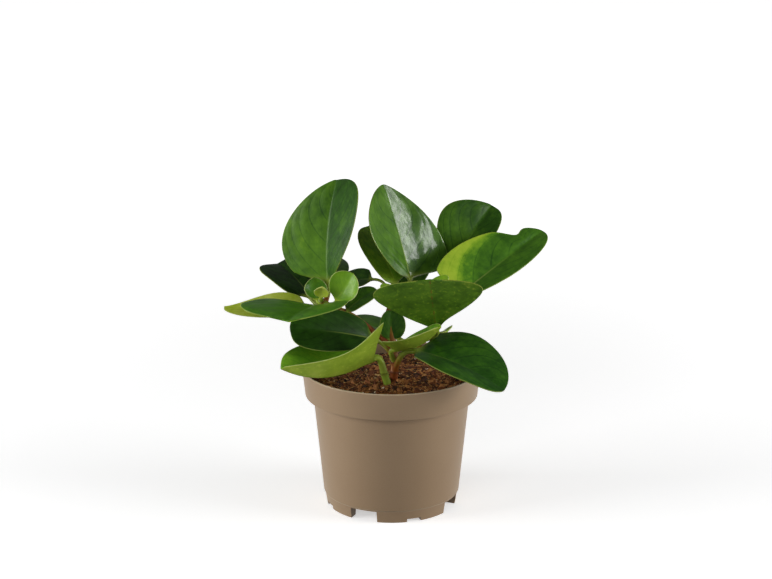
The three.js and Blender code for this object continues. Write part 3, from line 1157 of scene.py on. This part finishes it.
        # The two halves' tones, which carry painted shade as well as the leaf's own colour, blend across
        # the midrib.
        right = smooth(side * reach / (reach + left), -0.06, 0.06)
        # Where the flush's yellowing and painted light through the leaf are laid: towards the base.
        towards_base = 0.45 * smooth(phase, 1.35, 0.8) + 0.55 * smooth(phase, 0.6, -0.4)
        marks = {
            "leaf_place": (place[:, None], (1 - over) / 2),
            "leaf_measure": (reach, left, phase),
            "leaf_tone_and_shade": (self.tone_and_shade[0] + (self.tone_and_shade[1] - self.tone_and_shade[0]) * right, self.blush, self.rib),
            "leaf_span": (side * reach, travelled[:, None] + self.SHIFT * self.base[0],
                          self.flush_and_backlight * towards_base * (share < 0)),
            "leaf_finish": (self.shine, self.cool),
        }
        return {name: np.stack([0 * reach + row for row in rows], axis=-1) for name, rows in marks.items()}

    def relief(self, s: Array, part: Array, reach: Array, left: Array, phase: Array,
               side: Array) -> Array:
        """How far the blade's skin stands off its plain folded form.

        Args:
            s: share of the blade's length.
            part: share of the half width.
            reach: millimetres from the midrib.
            left: millimetres to the margin.
            phase: which vein, whole numbers on the veins.
            side: 0 for the left half and 1 for the right half.

        Returns:
            The lift in millimetres.
        """
        size = np.minimum(1, np.array(self.half)[side] / self.FULL_RELIEF)
        body = smooth(s, 0.04, 0.2) * smooth(s, 1.0, 0.88)
        inside = smooth(reach, 0.8, 4.0) * smooth(left, 0.3, 4.0)
        swell = np.abs(np.sin(math.pi * phase)) ** 0.7
        quilt = self.quilt * size * swell * inside * body
        camber = np.array(self.camber)[side] * size * 4 * part * (1 - part) * body
        turn = 2 * math.pi * (self.WAVES * s + self.WAVE_SHIFTS[0] * side) + self.WAVE_SHIFTS[1] * self.at
        wave = self.wave * size * np.sin(turn) * part ** 3 * body
        bend = self.FLUTE_BENDS[0] * np.sin(self.FLUTE_BENDS[1] * s)
        swing = np.cos(2 * math.pi * (reach - self.FLUTE_START) / self.FLUTE + bend)
        flute = np.array(self.flute)[side] * size * swing * smooth(left, 0.3, 6.0) * body
        return quilt + camber + wave + flute


@dataclass(frozen=True)
class PotPlastic:
    """Warm taupe satin plastic, with a painted highlight along the rim's top edge and the base step."""

    name: str = "pot plastic"
    colour: Colour = linear("977f63")
    deep: Colour = linear("866d52")
    roughness: float = 0.45
    specular: float = 0.3
    # A lighter colour painted along the rim's top edge and the base step as a painted highlight.
    painted_highlight: Colour = linear("cdb99c")
    rim_highlight_band: Pair = (0.0944, 0.095)
    base_line: Pair = (0.0078, 0.0088)
    base_highlight_fade: float = 0.0006
    cloud_scale: float = 14.0
    grain_scale: float = 1600.0
    grain: float = 0.00003

    def material(self) -> bpy.types.Material:
        """Builds the material.

        Returns:
            The material.
        """
        shader = Shader(self.name)
        where = shader.place()
        height = shader.add("ShaderNodeSeparateXYZ", sockets={0: where}).out("Z")
        # Painted highlight bands by height: the rim's top edge, and a thin line along the base step.
        top = self.base_line[1]
        rim_highlight = height.eased(*self.rim_highlight_band)
        base_highlight = height.eased(*self.base_line) * height.eased(top + self.base_highlight_fade, top)
        cloud = shader.noise(where, self.cloud_scale, 3)
        fine = shader.noise(where, self.grain_scale, 2)
        body = shader.mix(cloud.eased(0.3, 0.7) * 0.3 + (fine - 0.5) * 0.5 + 0.1, self.colour, self.deep)
        body = shader.mix(rim_highlight * 0.75 + base_highlight * 0.4, body, self.painted_highlight)
        rough = self.roughness + (fine - 0.5) * 0.1 + (cloud - 0.5) * 0.08
        return shader.surface(body, rough, fine, self.grain, {"Specular IOR Level": self.specular})


@dataclass(frozen=True)
class Pot:
    """Nursery pot: a lathe with a deep collar, and a foot with drainage gaps. Millimetres."""

    height: float = 95
    rim: float = 60
    collar: float = 58
    collar_bottom: float = 76.5
    body_top: float = 52.7
    body_bottom: float = 46
    base_line: float = 9
    foot: float = 44
    foot_width: float = 7
    wall: float = 1.5
    floor_underside: float = 6.5
    floor_top: float = 8.5
    bevel: float = 0.6
    taper: float = 1.2
    bead: float = 2
    flare: float = 0.3
    ledge: float = 2.5
    cove: float = 3
    gap_angle: float = -25
    gap_count: int = 8
    deep_gap: Pair = (19, 7.8)
    shallow_gap: Pair = (10, 2.4)
    drain: float = 4
    drain_ring: float = 25
    drain_count: int = 6
    drain_sides: int = 32
    overcut: float = 4
    sides: int = 256
    corner_steps: int = 7
    sharp_from: float = 35

    def inside(self) -> list[Pair]:
        """The corners of the wall's inner side: radius and height.

        Returns:
            The corners, from the floor up to the bead under the rim.
        """
        foot = self.body_bottom - self.wall
        return [
            (foot - self.cove, self.floor_top), (foot, self.floor_top + self.cove),
            (self.body_top - self.wall, self.collar_bottom),
            (self.collar - self.wall, self.collar_bottom + self.ledge),
            (self.rim - self.wall - self.flare, self.height - self.bead),
        ]

    def outline(self) -> list[tuple[float, float, float]]:
        """The corners of the wall's section: radius, height and rounding.

        Returns:
            The corners, from under the floor, up the outside, over the rim and down the inside.
        """
        step = self.foot - self.foot_width
        inside = zip(reversed(self.inside()), (0.3, 1.0, 1.0, 0, 0))
        return [
            (0, self.floor_underside, 0), (step, self.floor_underside, 0.4),
            (step + self.bevel, 0, 0.5), (self.foot, 0, 0.5), (self.foot, self.bevel, 0),
            (self.foot + self.taper, self.base_line - self.bevel, 0.3),
            (self.body_bottom, self.base_line, 0.4),
            (self.body_top, self.collar_bottom, 0.5), (self.collar, self.collar_bottom, 0.6),
            (self.rim - self.flare / 2, self.height - self.bead, 0.4),
            (self.rim, self.height, 0.9), (self.rim - self.wall, self.height, 0.5),
            *((radius, height, rounding) for (radius, height), rounding in inside),
            (0, self.floor_top, 0),
        ]

    def section(self) -> Array:
        """The section with its corners rounded.

        Returns:
            Rows of radius and height.
        """
        corners = self.outline()
        points: list[Array] = []
        for i, (radius, height, rounding) in enumerate(corners):
            here = np.array([radius, height], float)
            if rounding == 0 or i in (0, len(corners) - 1):
                points.append(here)
                continue
            before = np.array(corners[i - 1][:2], float) - here
            after = np.array(corners[i + 1][:2], float) - here
            back = here + before * min(rounding / np.linalg.norm(before), 0.49)
            on = here + after * min(rounding / np.linalg.norm(after), 0.49)
            points.extend(bezier((back, here, on), np.linspace(0, 1, self.corner_steps))[0])
        return np.array(points)

    def build(self, plastic: bpy.types.Material) -> bpy.types.Object:
        """Turns the section, and cuts the gaps and the drain holes.

        Args:
            plastic: its material.

        Returns:
            The pot.
        """
        piece = new_tube("pot_body", turned(self.section()[1:-1], self.sides))
        cutters = self.cutters()
        for cutter in cutters:
            cut = piece.modifiers.new("cut", "BOOLEAN")
            cut.operation = "DIFFERENCE"
            cut.solver = "EXACT"
            cut.object = cutter
        mesh = evaluated_mesh(piece)
        piece.modifiers.clear()
        piece.data = mesh
        for cutter in cutters:
            bpy.data.objects.remove(cutter)
        mesh.polygons.foreach_set("use_smooth", [True] * len(mesh.polygons))
        mesh.set_sharp_from_angle(angle=math.radians(self.sharp_from))
        return seat(piece, plastic, Slot.POT, "pot")

    def cutters(self) -> list[bpy.types.Object]:
        """The blocks and pins that are cut out of the pot.

        Returns:
            Closed solids.
        """
        made = []
        middle = self.foot - self.foot_width / 2
        reach = 1.5 * self.foot_width
        for k in range(self.gap_count):
            width, height = self.deep_gap if k % 2 == 0 else self.shallow_gap
            turn = Matrix.Rotation(math.radians(self.gap_angle + k * 360 / self.gap_count), 4, "Z")
            corners = [turn @ Vector((x, y, z)) for x in (-width / 2, width / 2)
                       for y in (-middle - reach, -middle + reach) for z in (-height, height)]
            faces = [(0, 1, 3, 2), (4, 6, 7, 5), (0, 4, 5, 1), (2, 3, 7, 6), (0, 2, 6, 4), (1, 5, 7, 3)]
            made.append(new_solid(f"gap_{k}", np.array(corners), faces))
        ends = (self.floor_underside - self.overcut, self.floor_top + self.overcut)
        pin = turned(np.array([(self.drain, z) for z in ends]), self.drain_sides)
        for k in range(self.drain_count):
            turn = k * 2 * math.pi / self.drain_count
            aside = self.drain_ring * np.array([math.cos(turn), math.sin(turn), 0])
            made.append(new_tube(f"drain_{k}", pin + aside))
        return made


@dataclass(frozen=True)
class SoilSkin:
    """Damp brown potting soil."""

    name: str = "soil"
    dark: Colour = linear("241107")
    mid: Colour = linear("5c3216")
    light: Colour = linear("96602c")
    roughness: float = 0.9
    lump_scale: float = 260.0
    fine_scale: float = 900.0
    grain: float = 0.0006

    def material(self) -> bpy.types.Material:
        """Builds the material.

        Returns:
            The material.
        """
        shader = Shader(self.name)
        where = shader.place()
        lumps = shader.noise(where, self.lump_scale, 4, 0.65)
        fine = shader.noise(where, self.fine_scale, 3, 0.6)
        body = shader.mix(lumps.eased(0.35, 0.6), self.dark, self.mid)
        body = shader.mix(fine.eased(0.52, 0.75), body, self.light)
        return shader.surface(body, self.roughness, lumps * 0.6 + fine * 0.4, self.grain)


@dataclass(frozen=True)
class Soil:
    """The soil that fills the pot, with a low lumpy top. Millimetres.

    The solid's gentle swells are lump high. Finer crumb_waves, crumb high, fade towards the edge.
    """

    pot: Pot = Pot()
    edge: float = 86
    dome: float = 3
    lump: float = 0.7
    rim: float = 60
    clearance: float = 0.3
    middle: float = 0.4
    sides: int = 192
    rings: int = 90
    crumb: float = 0.165
    crumb_waves: tuple[tuple[float, ...], ...] = (
        (1.9, 0.3, 1.7, 1.1), (3.1, 2.0, 2.7, 0.2), (4.3, 0.7, 4.9, 2.9))
    crumb_fade: float = 4
    strewn_to: float = 56.8
    bed_rings: int = 24
    bed_sides: int = 48

    def height(self, x: Array, y: Array) -> Array:
        """The height of the soil's top, with the same gentle swells as in the solid.

        Args:
            x: places to the right of the middle.
            y: places behind the middle.

        Returns:
            The heights.
        """
        share = np.hypot(x, y) / self.rim
        lumps = np.sin(0.31 * x + 0.9) * np.cos(0.27 * y) + np.sin(0.17 * x - 0.23 * y + 2)
        return self.edge + self.dome * (1 - share * share) + self.lump * lumps * (1 - share)

    def build(self, skin: bpy.types.Material) -> bpy.types.Object:
        """Builds the soil.

        Args:
            skin: its material.

        Returns:
            The soil.
        """
        inside = self.pot.inside()
        wall = [(radius - self.clearance, height + self.clearance) for radius, height in inside[:-1]]
        radii, heights = zip(*inside[-2:])
        edge = float(np.interp(self.edge, heights, radii)) - 2 * self.clearance
        top = [(edge * k / self.rings, self.edge) for k in range(self.rings, 0, -1)]
        rings = turned(np.array([(self.middle, wall[0][1]), *wall, *top]), self.sides)
        x, y, z = rings[-len(top):].transpose(2, 0, 1)
        rough = sum(np.sin(x * a + b) * np.sin(y * c + d) for a, b, c, d in self.crumb_waves)
        fade = np.clip((edge - np.hypot(x, y)) / self.crumb_fade, 0, 1)
        z[:] = self.height(x, y) + self.crumb * rough * fade
        return seat(new_tube("soil_fill", rings), skin, Slot.SOIL, "soil")

    def bed(self, radius: float) -> bpy.types.Object:
        """The soil's top out to a radius, for strewing bits on.

        Args:
            radius: how far out it reaches, in millimetres.

        Returns:
            An open surface, which is taken away once it has been used.
        """
        reach = np.linspace(0.02, 1, self.bed_rings) * radius
        rings = turned(np.stack([reach, 0 * reach], axis=-1), self.bed_sides)
        rings[..., 2] = self.height(rings[..., 0], rings[..., 1])
        return new_mesh("soil_bed", rings, faces=tube_faces(self.bed_rings, self.bed_sides)[:-1])

    def strew(self) -> None:
        """Strews clods, crumbs, fibres and pale bits over the top."""
        brown = BitSkin("soil crumbs", colours("1c0e06 6e3a18 b47c44")).material()
        coir = BitSkin("coir fibres", colours("4a2408 a86a30 e0b878")).material()
        pale = BitSkin("pale bits", colours("8a6844 c8a880 ecdcc4")).material()
        layers = (
            (Strewing("soil_clods", Bit.CRUMB, 7.0, (2.4, 6.0), 11, rounds=2, sink=0.9), brown),
            (Strewing("soil_crumbs", Bit.CRUMB, 26.0, (0.8, 2.4), 21, sink=0.05), brown),
            (Strewing("coir_fibres", Bit.FIBRE, 28.0, (3.0, 8.5), 31), coir),
            (Strewing("pale_bits", Bit.CRUMB, 1.4, (0.8, 2.2), 41), pale),
        )
        for layer, skin in layers:
            bed = self.bed(self.strewn_to - layer.size[1] * layer.stretch[1] / 2)
            layer.build(bed, skin)
            bpy.data.objects.remove(bed)


class Bit(Enum):
    """What the soil is strewn with."""

    CRUMB = "crumb"
    FIBRE = "fibre"


@dataclass(frozen=True)
class BitSkin:
    """Bits in the soil, each of its own shade between dark and light."""

    name: str
    shades: tuple[Colour, ...]
    middle: float = 0.55
    mottling: float = 0.4
    roughness: float = 0.85
    grain_scale: float = 1400.0
    grain: float = 0.0002

    def material(self) -> bpy.types.Material:
        """Builds the material.

        Returns:
            The material.
        """
        shader = Shader(self.name)
        shade = shader.add("ShaderNodeAttribute", {"attribute_name": "shade"}, output="Fac")
        rough = shader.noise(shader.place(), self.grain_scale, 3, 0.6)
        mottled = shade + (rough - 0.5) * self.mottling
        colour = shader.ramp(mottled, self.shades, (0.0, self.middle, 1.0))
        return shader.surface(colour, self.roughness, rough, self.grain)


@dataclass(frozen=True)
class Strewing:
    """A layer of small bits over the soil.

    Sizes are in millimetres, the density in bits for each square centimetre, and the stretches are
    the least and the most along each axis. A fibre lies nearly flat, by its tilt in radians.
    """

    name: str
    bit: Bit
    density: float
    size: Pair
    seed: int
    rounds: int = 1
    sink: float = 0.0
    fibre_radius: float = 0.25
    fibre_points: int = 7
    fibre_tilt: float = 0.22
    stretch: Pair = (0.6, 1.3)
    widths: Pair = (0.6, 1.1)
    heights: Pair = (0.6, 1.0)

    def build(self, bed: bpy.types.Object, skin: bpy.types.Material) -> bpy.types.Object:
        """Strews the bits over a bed.

        Args:
            bed: the surface that they lie on.
            skin: their material.

        Returns:
            The bits as one mesh.
        """
        recipe = Recipe(f"strew {self.name}")
        density = recipe.number("Density", self.density * PER_SQUARE_CM)
        least = recipe.number("Least size", self.size[0] * MM)
        most = recipe.number("Most size", self.size[1] * MM)
        seed = recipe.number("Seed", self.seed)
        points = recipe.add("GeometryNodeDistributePointsOnFaces", sockets={
            "Mesh": recipe.geometry(), "Density": density, "Seed": seed})
        tilt = math.pi if self.bit is Bit.CRUMB else self.fibre_tilt
        most_turn = (tilt, tilt, math.pi)
        turn = recipe.spread(tuple(-angle for angle in most_turn), most_turn, self.seed + 1, "FLOAT_VECTOR")
        size = recipe.spread(least, most, self.seed + 2)
        skews = zip(self.stretch, self.widths, self.heights)
        scale = recipe.scaled(recipe.spread(*skews, self.seed + 3, "FLOAT_VECTOR"), size)
        shape = self.crumb(recipe) if self.bit is Bit.CRUMB else self.fibre(recipe)
        strewn = recipe.add("GeometryNodeInstanceOnPoints", sockets={
            "Points": points, "Instance": shape, "Rotation": turn, "Scale": scale})
        shade = recipe.spread(0.0, 1.0, self.seed + 4)
        shaded = recipe.add("GeometryNodeStoreNamedAttribute", {"data_type": "FLOAT", "domain": "INSTANCE"},
                            {"Geometry": strewn, "Name": "shade", "Value": shade})
        settled = recipe.add("GeometryNodeTranslateInstances", sockets={
            "Instances": shaded, "Translation": (0.0, 0.0, -self.sink * MM), "Local Space": False})
        recipe.finish(settled, skin)
        return seat(recipe.run(bed, self.name), None, Slot.SOIL)

    def crumb(self, recipe: Recipe) -> Value:
        """Shapes a crumb.

        Args:
            recipe: the tree.

        Returns:
            A lumpy crumb of unit size.
        """
        ball = recipe.add("GeometryNodeMeshIcoSphere", sockets={"Radius": 0.5, "Subdivisions": self.rounds})
        push = recipe.push(1.7, 2.0, (1.1, 1.1, 1.1))
        return recipe.add("GeometryNodeSetPosition", sockets={"Geometry": ball, "Offset": push})

    def fibre(self, recipe: Recipe) -> Value:
        """Shapes a fibre.

        Args:
            recipe: the tree.

        Returns:
            A bent fibre of unit length.
        """
        ends = {"Start": (-0.5, 0.0, 0.0), "End": (0.5, 0.0, 0.0)}
        line = recipe.add("GeometryNodeCurvePrimitiveLine", sockets=ends)
        fine = recipe.add("GeometryNodeResampleCurve", sockets={"Curve": line, "Count": self.fibre_points})
        push = recipe.push(1.6, 1.0, (0.3, 0.9, 0.3))
        bent = recipe.add("GeometryNodeSetPosition", sockets={"Geometry": fine, "Offset": push})
        thick = self.fibre_radius / (sum(self.size) / 2)
        section = recipe.add("GeometryNodeCurvePrimitiveCircle", sockets={"Resolution": 4, "Radius": thick})
        return recipe.add("GeometryNodeCurveToMesh", sockets={
            "Curve": bent, "Profile Curve": section, "Fill Caps": True})


@dataclass(frozen=True)
class Softbox:
    """A soft rectangular light that looks at a point. Metres and watts."""

    name: str
    place: Point
    aim: Point
    size: Pair
    power: float
    mirrored: bool = True

    def build(self) -> None:
        """Hangs the light."""
        lamp = bpy.data.lights.new(self.name, "AREA")
        lamp.shape = "RECTANGLE"
        lamp.size, lamp.size_y = self.size
        lamp.energy = self.power
        made = linked(self.name, lamp)
        made.location = self.place
        made.visible_glossy = self.mirrored
        way = Vector(self.aim) - Vector(self.place)
        made.rotation_euler = way.to_track_quat("-Z", "Y").to_euler()


@dataclass(frozen=True)
class Studio:
    """A pale floor, soft lights from the sides and the front, and the camera. Metres and degrees.

    The floor glows less under the object, within sweep, so that the object stands in a soft shade.
    The front light only fills: glossy surfaces don't mirror it.
    """

    camera: Point = (-0.00366, -1.2, 0.482)
    pitch: float = 74.47
    lens: float = 87.39
    floor_size: float = 80.0
    floor_colour: Colour = (0.86, 0.86, 0.86)
    floor_roughness: float = 0.9
    sky: float = 0.14
    glow: float = 0.5
    sweep: Pair = (0.25, 1.1)
    boxes: tuple[Softbox, ...] = (
        Softbox("left box", (-1.5, -0.3, 0.32), (0, 0, 0.14), (0.9, 1.1), 26.5),
        Softbox("right box", (1.5, -0.3, 0.32), (0, 0, 0.14), (0.9, 1.1), 26.5),
        Softbox("front fill", (-0.5, -1.4, 0.75), (0, 0, 0.12), (0.9, 0.9), 5.5, mirrored=False),
    )

    def build(self) -> None:
        """Builds the floor, the sky, the lights and the camera."""
        self.build_floor()
        self.build_sky()
        for box in self.boxes:
            box.build()
        self.build_camera()
        bpy.context.scene.view_settings.view_transform = "Standard"

    def build_floor(self) -> None:
        """Lays the floor."""
        bpy.ops.mesh.primitive_plane_add(size=self.floor_size)
        floor = bpy.context.object
        floor.name = "floor"
        shader = Shader("floor")
        far = shader.vector("LENGTH", shader.place(), output="Value").eased(*self.sweep)
        glow = shader.mix(far, (self.glow, self.glow, self.glow), self.floor_colour)
        others = {"Emission Color": glow, "Emission Strength": 1.0}
        paint = shader.surface(self.floor_colour, self.floor_roughness, others=others)
        floor.data.materials.append(paint)
        floor.visible_diffuse = False

    def build_sky(self) -> None:
        """Sets an even white sky."""
        world = bpy.data.worlds.new("studio")
        bpy.context.scene.world = world
        world.use_nodes = True
        sky = world.node_tree.nodes["Background"]
        sky.inputs["Color"].default_value = (1, 1, 1, 1)
        sky.inputs["Strength"].default_value = self.sky

    def build_camera(self) -> None:
        """Places the camera where the photograph was taken from."""
        eye = bpy.data.cameras.new("camera")
        eye.lens = self.lens
        made = linked("camera", eye)
        made.location = self.camera
        made.rotation_euler = (math.radians(self.pitch), 0, 0)
        bpy.context.scene.camera = made


# The margin colours are partly the edge's own colour and partly a painted highlight.
MATURE = Palette(
    "leaf, mature",
    upper=colours("12250a 2b4f14 557f1e 8cab2a b3c23a"),
    under=colours("28420f 456a18 628c22 86a830 aebf4a"),
    rib=linear("a9b860"), margin=linear("a5b455"), petiole=linear("7f8f34"), foot=linear("7a4318"),
    blush=linear("7a2c14"),
)
YOUNG = Palette(
    "leaf, young",
    upper=colours("30581a 4f8020 7aa428 a8bd34 cdd470"),
    under=colours("5f7f24 80a02c 9cb638 b9c84e d6db80"),
    rib=linear("bccb70"), margin=linear("d9dc96"), petiole=linear("93ab38"), foot=linear("8a9a38"),
    blush=linear("8a3a1e"),
)

SHOOT = StemSkin("shoot skin", low=linear("7d8a30"), high=linear("86a034"), ring=linear("7a7a30"),
                 fleck=linear("9aa848"), roughness=0.42)

LEAVES = (
    Leaf("leaf_left_upright", "stem_left", 0.93, (-42, 4, 150), (-36, 19.5, 218.6), (-0.66, -0.74, 0.15),
         half=(33.5, 34), fold=(20, 18), arch=4, widest=(0.38, 0.7), petiole=1.6, blunt=(0.85, 0.42),
         sweep=(0, -0.09), tone_and_shade=(0.41, 0.24), rib=0.05, shine=0.02),
    Leaf("leaf_top_centre", "stem_main", 0.94, (12.5, 13, 151), (-6, 20, 215.5), (0.73, -0.65, 0.25),
         half=(34, 34), fold=(15, 15), arch=1, widest=(0.62, 0.34), petiole=1.6, blunt=(0.6, 0.8),
         sweep=(0, 0.3), tone_and_shade=(0.4, 0.36), rib=0.4, flute=(0.12, 0.36), shine=0.75, camber=(0.5, -1.2)),
    Leaf("leaf_behind_top", "stem_main", 0.83, (3, 13, 147), (-17, 36, 182.5), (0.3, -0.6, 0.7),
         half=(15, 18), fold=(12, 12), arch=3, widest=(0.6, 0.6), petiole=1.5, tone_and_shade=(0.58, 0.5)),
    Leaf("leaf_back_right", "stem_back", 0.9, (36, 38, 148), (69, 60, 192), (0.25, -0.75, 0.6),
         half=(27, 14), fold=(15, 15), arch=3, widest=(0.6, 0.65), petiole=1.6, blunt=(0.85, 0.3),
         sweep=(0.05, 0), tone_and_shade=(0.3, 0.26), shine=0.03),
    Leaf("leaf_right", "stem_main", 0.87, (42, -4, 143), (104.3, 56, 174.5), (0.1, -0.6, 0.8),
         half=(27.5, 15), fold=(16, 16), arch=1, widest=(0.34, 0.6), petiole=1.6, blunt=(0.72, 0.5),
         sweep=(0.25, 0), tone_and_shade=(0.37, 0.42), flush_and_backlight=0.6, dent=(0, 0.82, 0.42, 0.07), rib=0.3, cool=0.45,
         shine=0.15),
    Leaf("leaf_front_centre", "stem_main", 0.5, (30, -14, 124), (24, -60, 171.5), (0, 0.6, 0.8),
         half=(33, 37), fold=(-4, -4), arch=-2, widest=(0.86, 0.83), petiole=1.7, blunt=(0.3, 0.3),
         tone_and_shade=(0.45, 0.45), blush=0.5),
    Leaf("leaf_lower_right", "stem_main", 0.3, (15, -20, 112), (72, -60, 98), (0.2, -0.25, 0.9),
         half=(35, 20), fold=(8, 8), arch=4, widest=(0.42, 0.55), petiole=2.0, blunt=(0.55, 0.5),
         sweep=(0.2, 0), tone_and_shade=(0.29, 0.27), shine=0.12, cool=0.7),
    Leaf("leaf_lower_right_back", "stem_back", 0.45, (32, 18, 110), (37.5, 5, 118), (0, -0.5, 1),
         half=(8, 8), fold=(12, 12), arch=1, widest=(0.6, 0.6), petiole=1.1, young=True, tone_and_shade=(0.5, 0.5)),
    Leaf("leaf_front_small", "stem_main", 0.38, (3, -20, 113), (31.5, -43, 135.5), (-0.1, 0, 0.9),
         half=(10.5, 13.5), fold=(50, 44), arch=-4, widest=(0.5, 0.3), petiole=1.6, blunt=(0.6, 0.6),
         sweep=(0, 0.7), young=True, tone_and_shade=(0.34, 0.42), cup=1.4, shine=0.2),
    Leaf("leaf_stem_upright", "stem_main", 0.48, (-1, -6, 115), (0, 0, 134), (0.1, -0.95, 0.2),
         half=(8, 10), fold=(15, 15), arch=1, widest=(0.5, 0.5), petiole=1.1, tone_and_shade=(0.3, 0.25)),
    Leaf("leaf_lower_left_front", "stem_low", 1, (-12, -24, 108), (-71, -54, 111), (0, 0, 1),
         half=(33, 28), fold=(60, 36), arch=-9, widest=(0.16, 0.5), petiole=2.2, blunt=(0.7, 0.5),
         sweep=(0.55, 0), young=True, tone_and_shade=(0.5, 0.54), cup=1.2, cool=0.75),
    Leaf("leaf_lower_left_back", "stem_main", 0.4, (-11, -8, 116), (-66, -34, 131), (0, -0.7, 0.7),
         half=(16.5, 16.8), fold=(8, 8), arch=3, widest=(0.7, 0.5), petiole=1.6, blunt=(0.3, 0.5),
         tone_and_shade=(0.2, 0.22), rib=0.35, shine=0.05),
    Leaf("leaf_left_front", "stem_left", 0.78, (-48, -11, 140), (-65, -66, 146), (-0.2, -0.14, 0.92),
         half=(33, 37), fold=(6, 17), arch=2, widest=(0.66, 0.74), petiole=1.5, blunt=(0.3, 0.2),
         tone_and_shade=(0.5, 0.48), shine=0.15, cool=0.7),
    Leaf("leaf_far_left", "stem_left", 0.67, (-54, -3, 134.5), (-110.2, -15, 140), (0, -0.75, 0.65),
         half=(6.5, 12.5), fold=(8, 8), arch=0, widest=(0.6, 0.3), petiole=1.4, blunt=(0.7, 1.5),
         young=True, tone_and_shade=(0.85, 0.85), shine=0.05),
    Leaf("leaf_left_dark", "stem_left", 0.82, (-54, 9, 140), (-78, 41, 155), (0.2, -0.5, 0.8),
         half=(21, 22), fold=(15, 15), arch=3, widest=(0.62, 0.62), petiole=1.5, blunt=(0.3, 0.3),
         tone_and_shade=(0.12, 0.12), shine=0.1),
    Leaf("leaf_young_cup", "stem_left", 0.92, (-49.5, -2.7, 141.8), (-51.5, 3.3, 155.8), (0.2, -0.95, 0.2),
         half=(8.5, 8.5), fold=(24, 24), arch=-2, widest=(0.5, 0.5), petiole=1, young=True,
         tone_and_shade=(0.25, 0.25), cup=2.0, shine=0.12),
    Leaf("leaf_bud", "stem_left", 1, (-46.5, -11, 146), (-45.5, -14, 154), (0, -0.9, 0.3),
         half=(5.4, 5.4), fold=(20, 20), arch=-1, widest=(0.5, 0.5), petiole=0.8, young=True,
         tone_and_shade=(0.75, 0.75), cup=1.7, shine=0.2),
    Leaf("leaf_young_bright", "stem_left", 0.96, (-36.5, -12, 144), (-25.5, -11, 162.5), (-0.2, -0.8, 0.5),
         half=(11.5, 12), fold=(20, 20), arch=-1, widest=(0.55, 0.55), petiole=1.1, young=True,
         tone_and_shade=(0.38, 0.4), cup=2.0, shine=0.18),
    Leaf("leaf_left_back_upper", "stem_main", 0.78, (-12.5, 22, 149.5), (-42, 34, 139), (0.1, -0.4, 0.9),
         half=(11, 12), fold=(10, 10), arch=2, widest=(0.45, 0.45), petiole=1, tone_and_shade=(0.25, 0.25)),
    Leaf("leaf_left_back_lower", "stem_left", 0.74, (-30, -4, 134), (-10, 8, 146), (-0.2, -0.5, 0.8),
         half=(8, 8), fold=(12, 12), arch=2, widest=(0.55, 0.55), petiole=1.2, tone_and_shade=(0.3, 0.3)),
    Leaf("leaf_centre_bud", "stem_main", 0.99, (22, -8, 151), (37, -17, 159.5), (-0.4, 0, 0.9),
         half=(7, 7), fold=(20, 20), arch=1, widest=(0.55, 0.55), petiole=1.1, young=True,
         tone_and_shade=(0.5, 0.5), cup=1.5),
    Leaf("leaf_centre_young", "stem_main", 0.97, (6, -2, 148), (-6, -16, 153), (0.3, 0.2, 0.9),
         half=(6, 6), fold=(20, 20), arch=1, widest=(0.55, 0.55), petiole=1, young=True, tone_and_shade=(0.5, 0.5),
         cup=1.5),
    Leaf("leaf_back_low", "stem_back", 0.3, (38, 38, 98), (60, 63, 80), (0, 0, 1),
         half=(15, 15), fold=(10, 10), arch=7, widest=(0.55, 0.55), petiole=1.5),
    Leaf("leaf_back_low_left", "stem_back", 0.4, (4, 36, 104), (-44, 58.5, 105), (0, 0.1, 1),
         half=(22, 20), fold=(10, 10), arch=5, widest=(0.55, 0.55), petiole=1.5),
    Leaf("leaf_back_left", "stem_left", 0.74, (-38, 20, 148), (-46, 66, 154), (0.3, -0.2, 1),
         half=(9, 12), fold=(8, 8), arch=4, widest=(0.55, 0.55), petiole=1.5),
    Leaf("leaf_back_centre", "stem_main", 0.72, (12, 30, 140), (14, 66, 154), (0, -0.3, 1),
         half=(15, 15), fold=(8, 8), arch=4, widest=(0.55, 0.55), petiole=1.5),
    Leaf("leaf_back_far", "stem_back", 0.75, (44, 38, 132), (60, 66, 153), (0.2, -0.4, 0.9),
         half=(15, 18), fold=(12, 12), arch=3, widest=(0.55, 0.55), petiole=1.4),
)

STEMS = (
    Stem("stem_main", ((1.7, -8, 68), (1.8, -8, 90), (2, -7.5, 104), (0, -4, 120), (-1, 2, 134),
                       (9, 7, 148)), (2.7, 2)),
    Stem("stem_left", ((1, -6, 110), (-10, -5, 119), (-26, -3, 131), (-42, -4, 139),
                       (-46.5, -8, 143.5)), (2.2, 1.8)),
    Stem("stem_low", ((-0.5, -17.5, 68), (-1.5, -18, 84), (-5, -20.5, 97)), (2.7, 2.4), green=True,
         rounded=False),
    Stem("stem_back", ((30, 26, 68), (30, 27, 90), (31, 28, 116), (35, 30, 142)), (2.5, 1.9)),
)


def main() -> None:
    """Builds the potted plant and its studio."""
    logging.basicConfig(level=logging.INFO, format="%(message)s")
    Pot().build(PotPlastic().material())
    soil = Soil()
    soil.build(SoilSkin().material())
    soil.strew()
    barks = {False: StemSkin().material(), True: SHOOT.material()}
    stems = {}
    for stem in STEMS:
        joints = tuple(leaf.at for leaf in LEAVES if leaf.stem == stem.node)
        stems[stem.node] = replace(stem, joints=joints)
        stems[stem.node].build(barks[stem.green])
    skins = {True: LeafSkin(YOUNG, under_mottle=1.2).material(), False: LeafSkin(MATURE).material()}
    for leaf in LEAVES:
        leaf.build(stems[leaf.stem], skins[leaf.young])
    Studio().build()


if __name__ == "__main__":
    main()
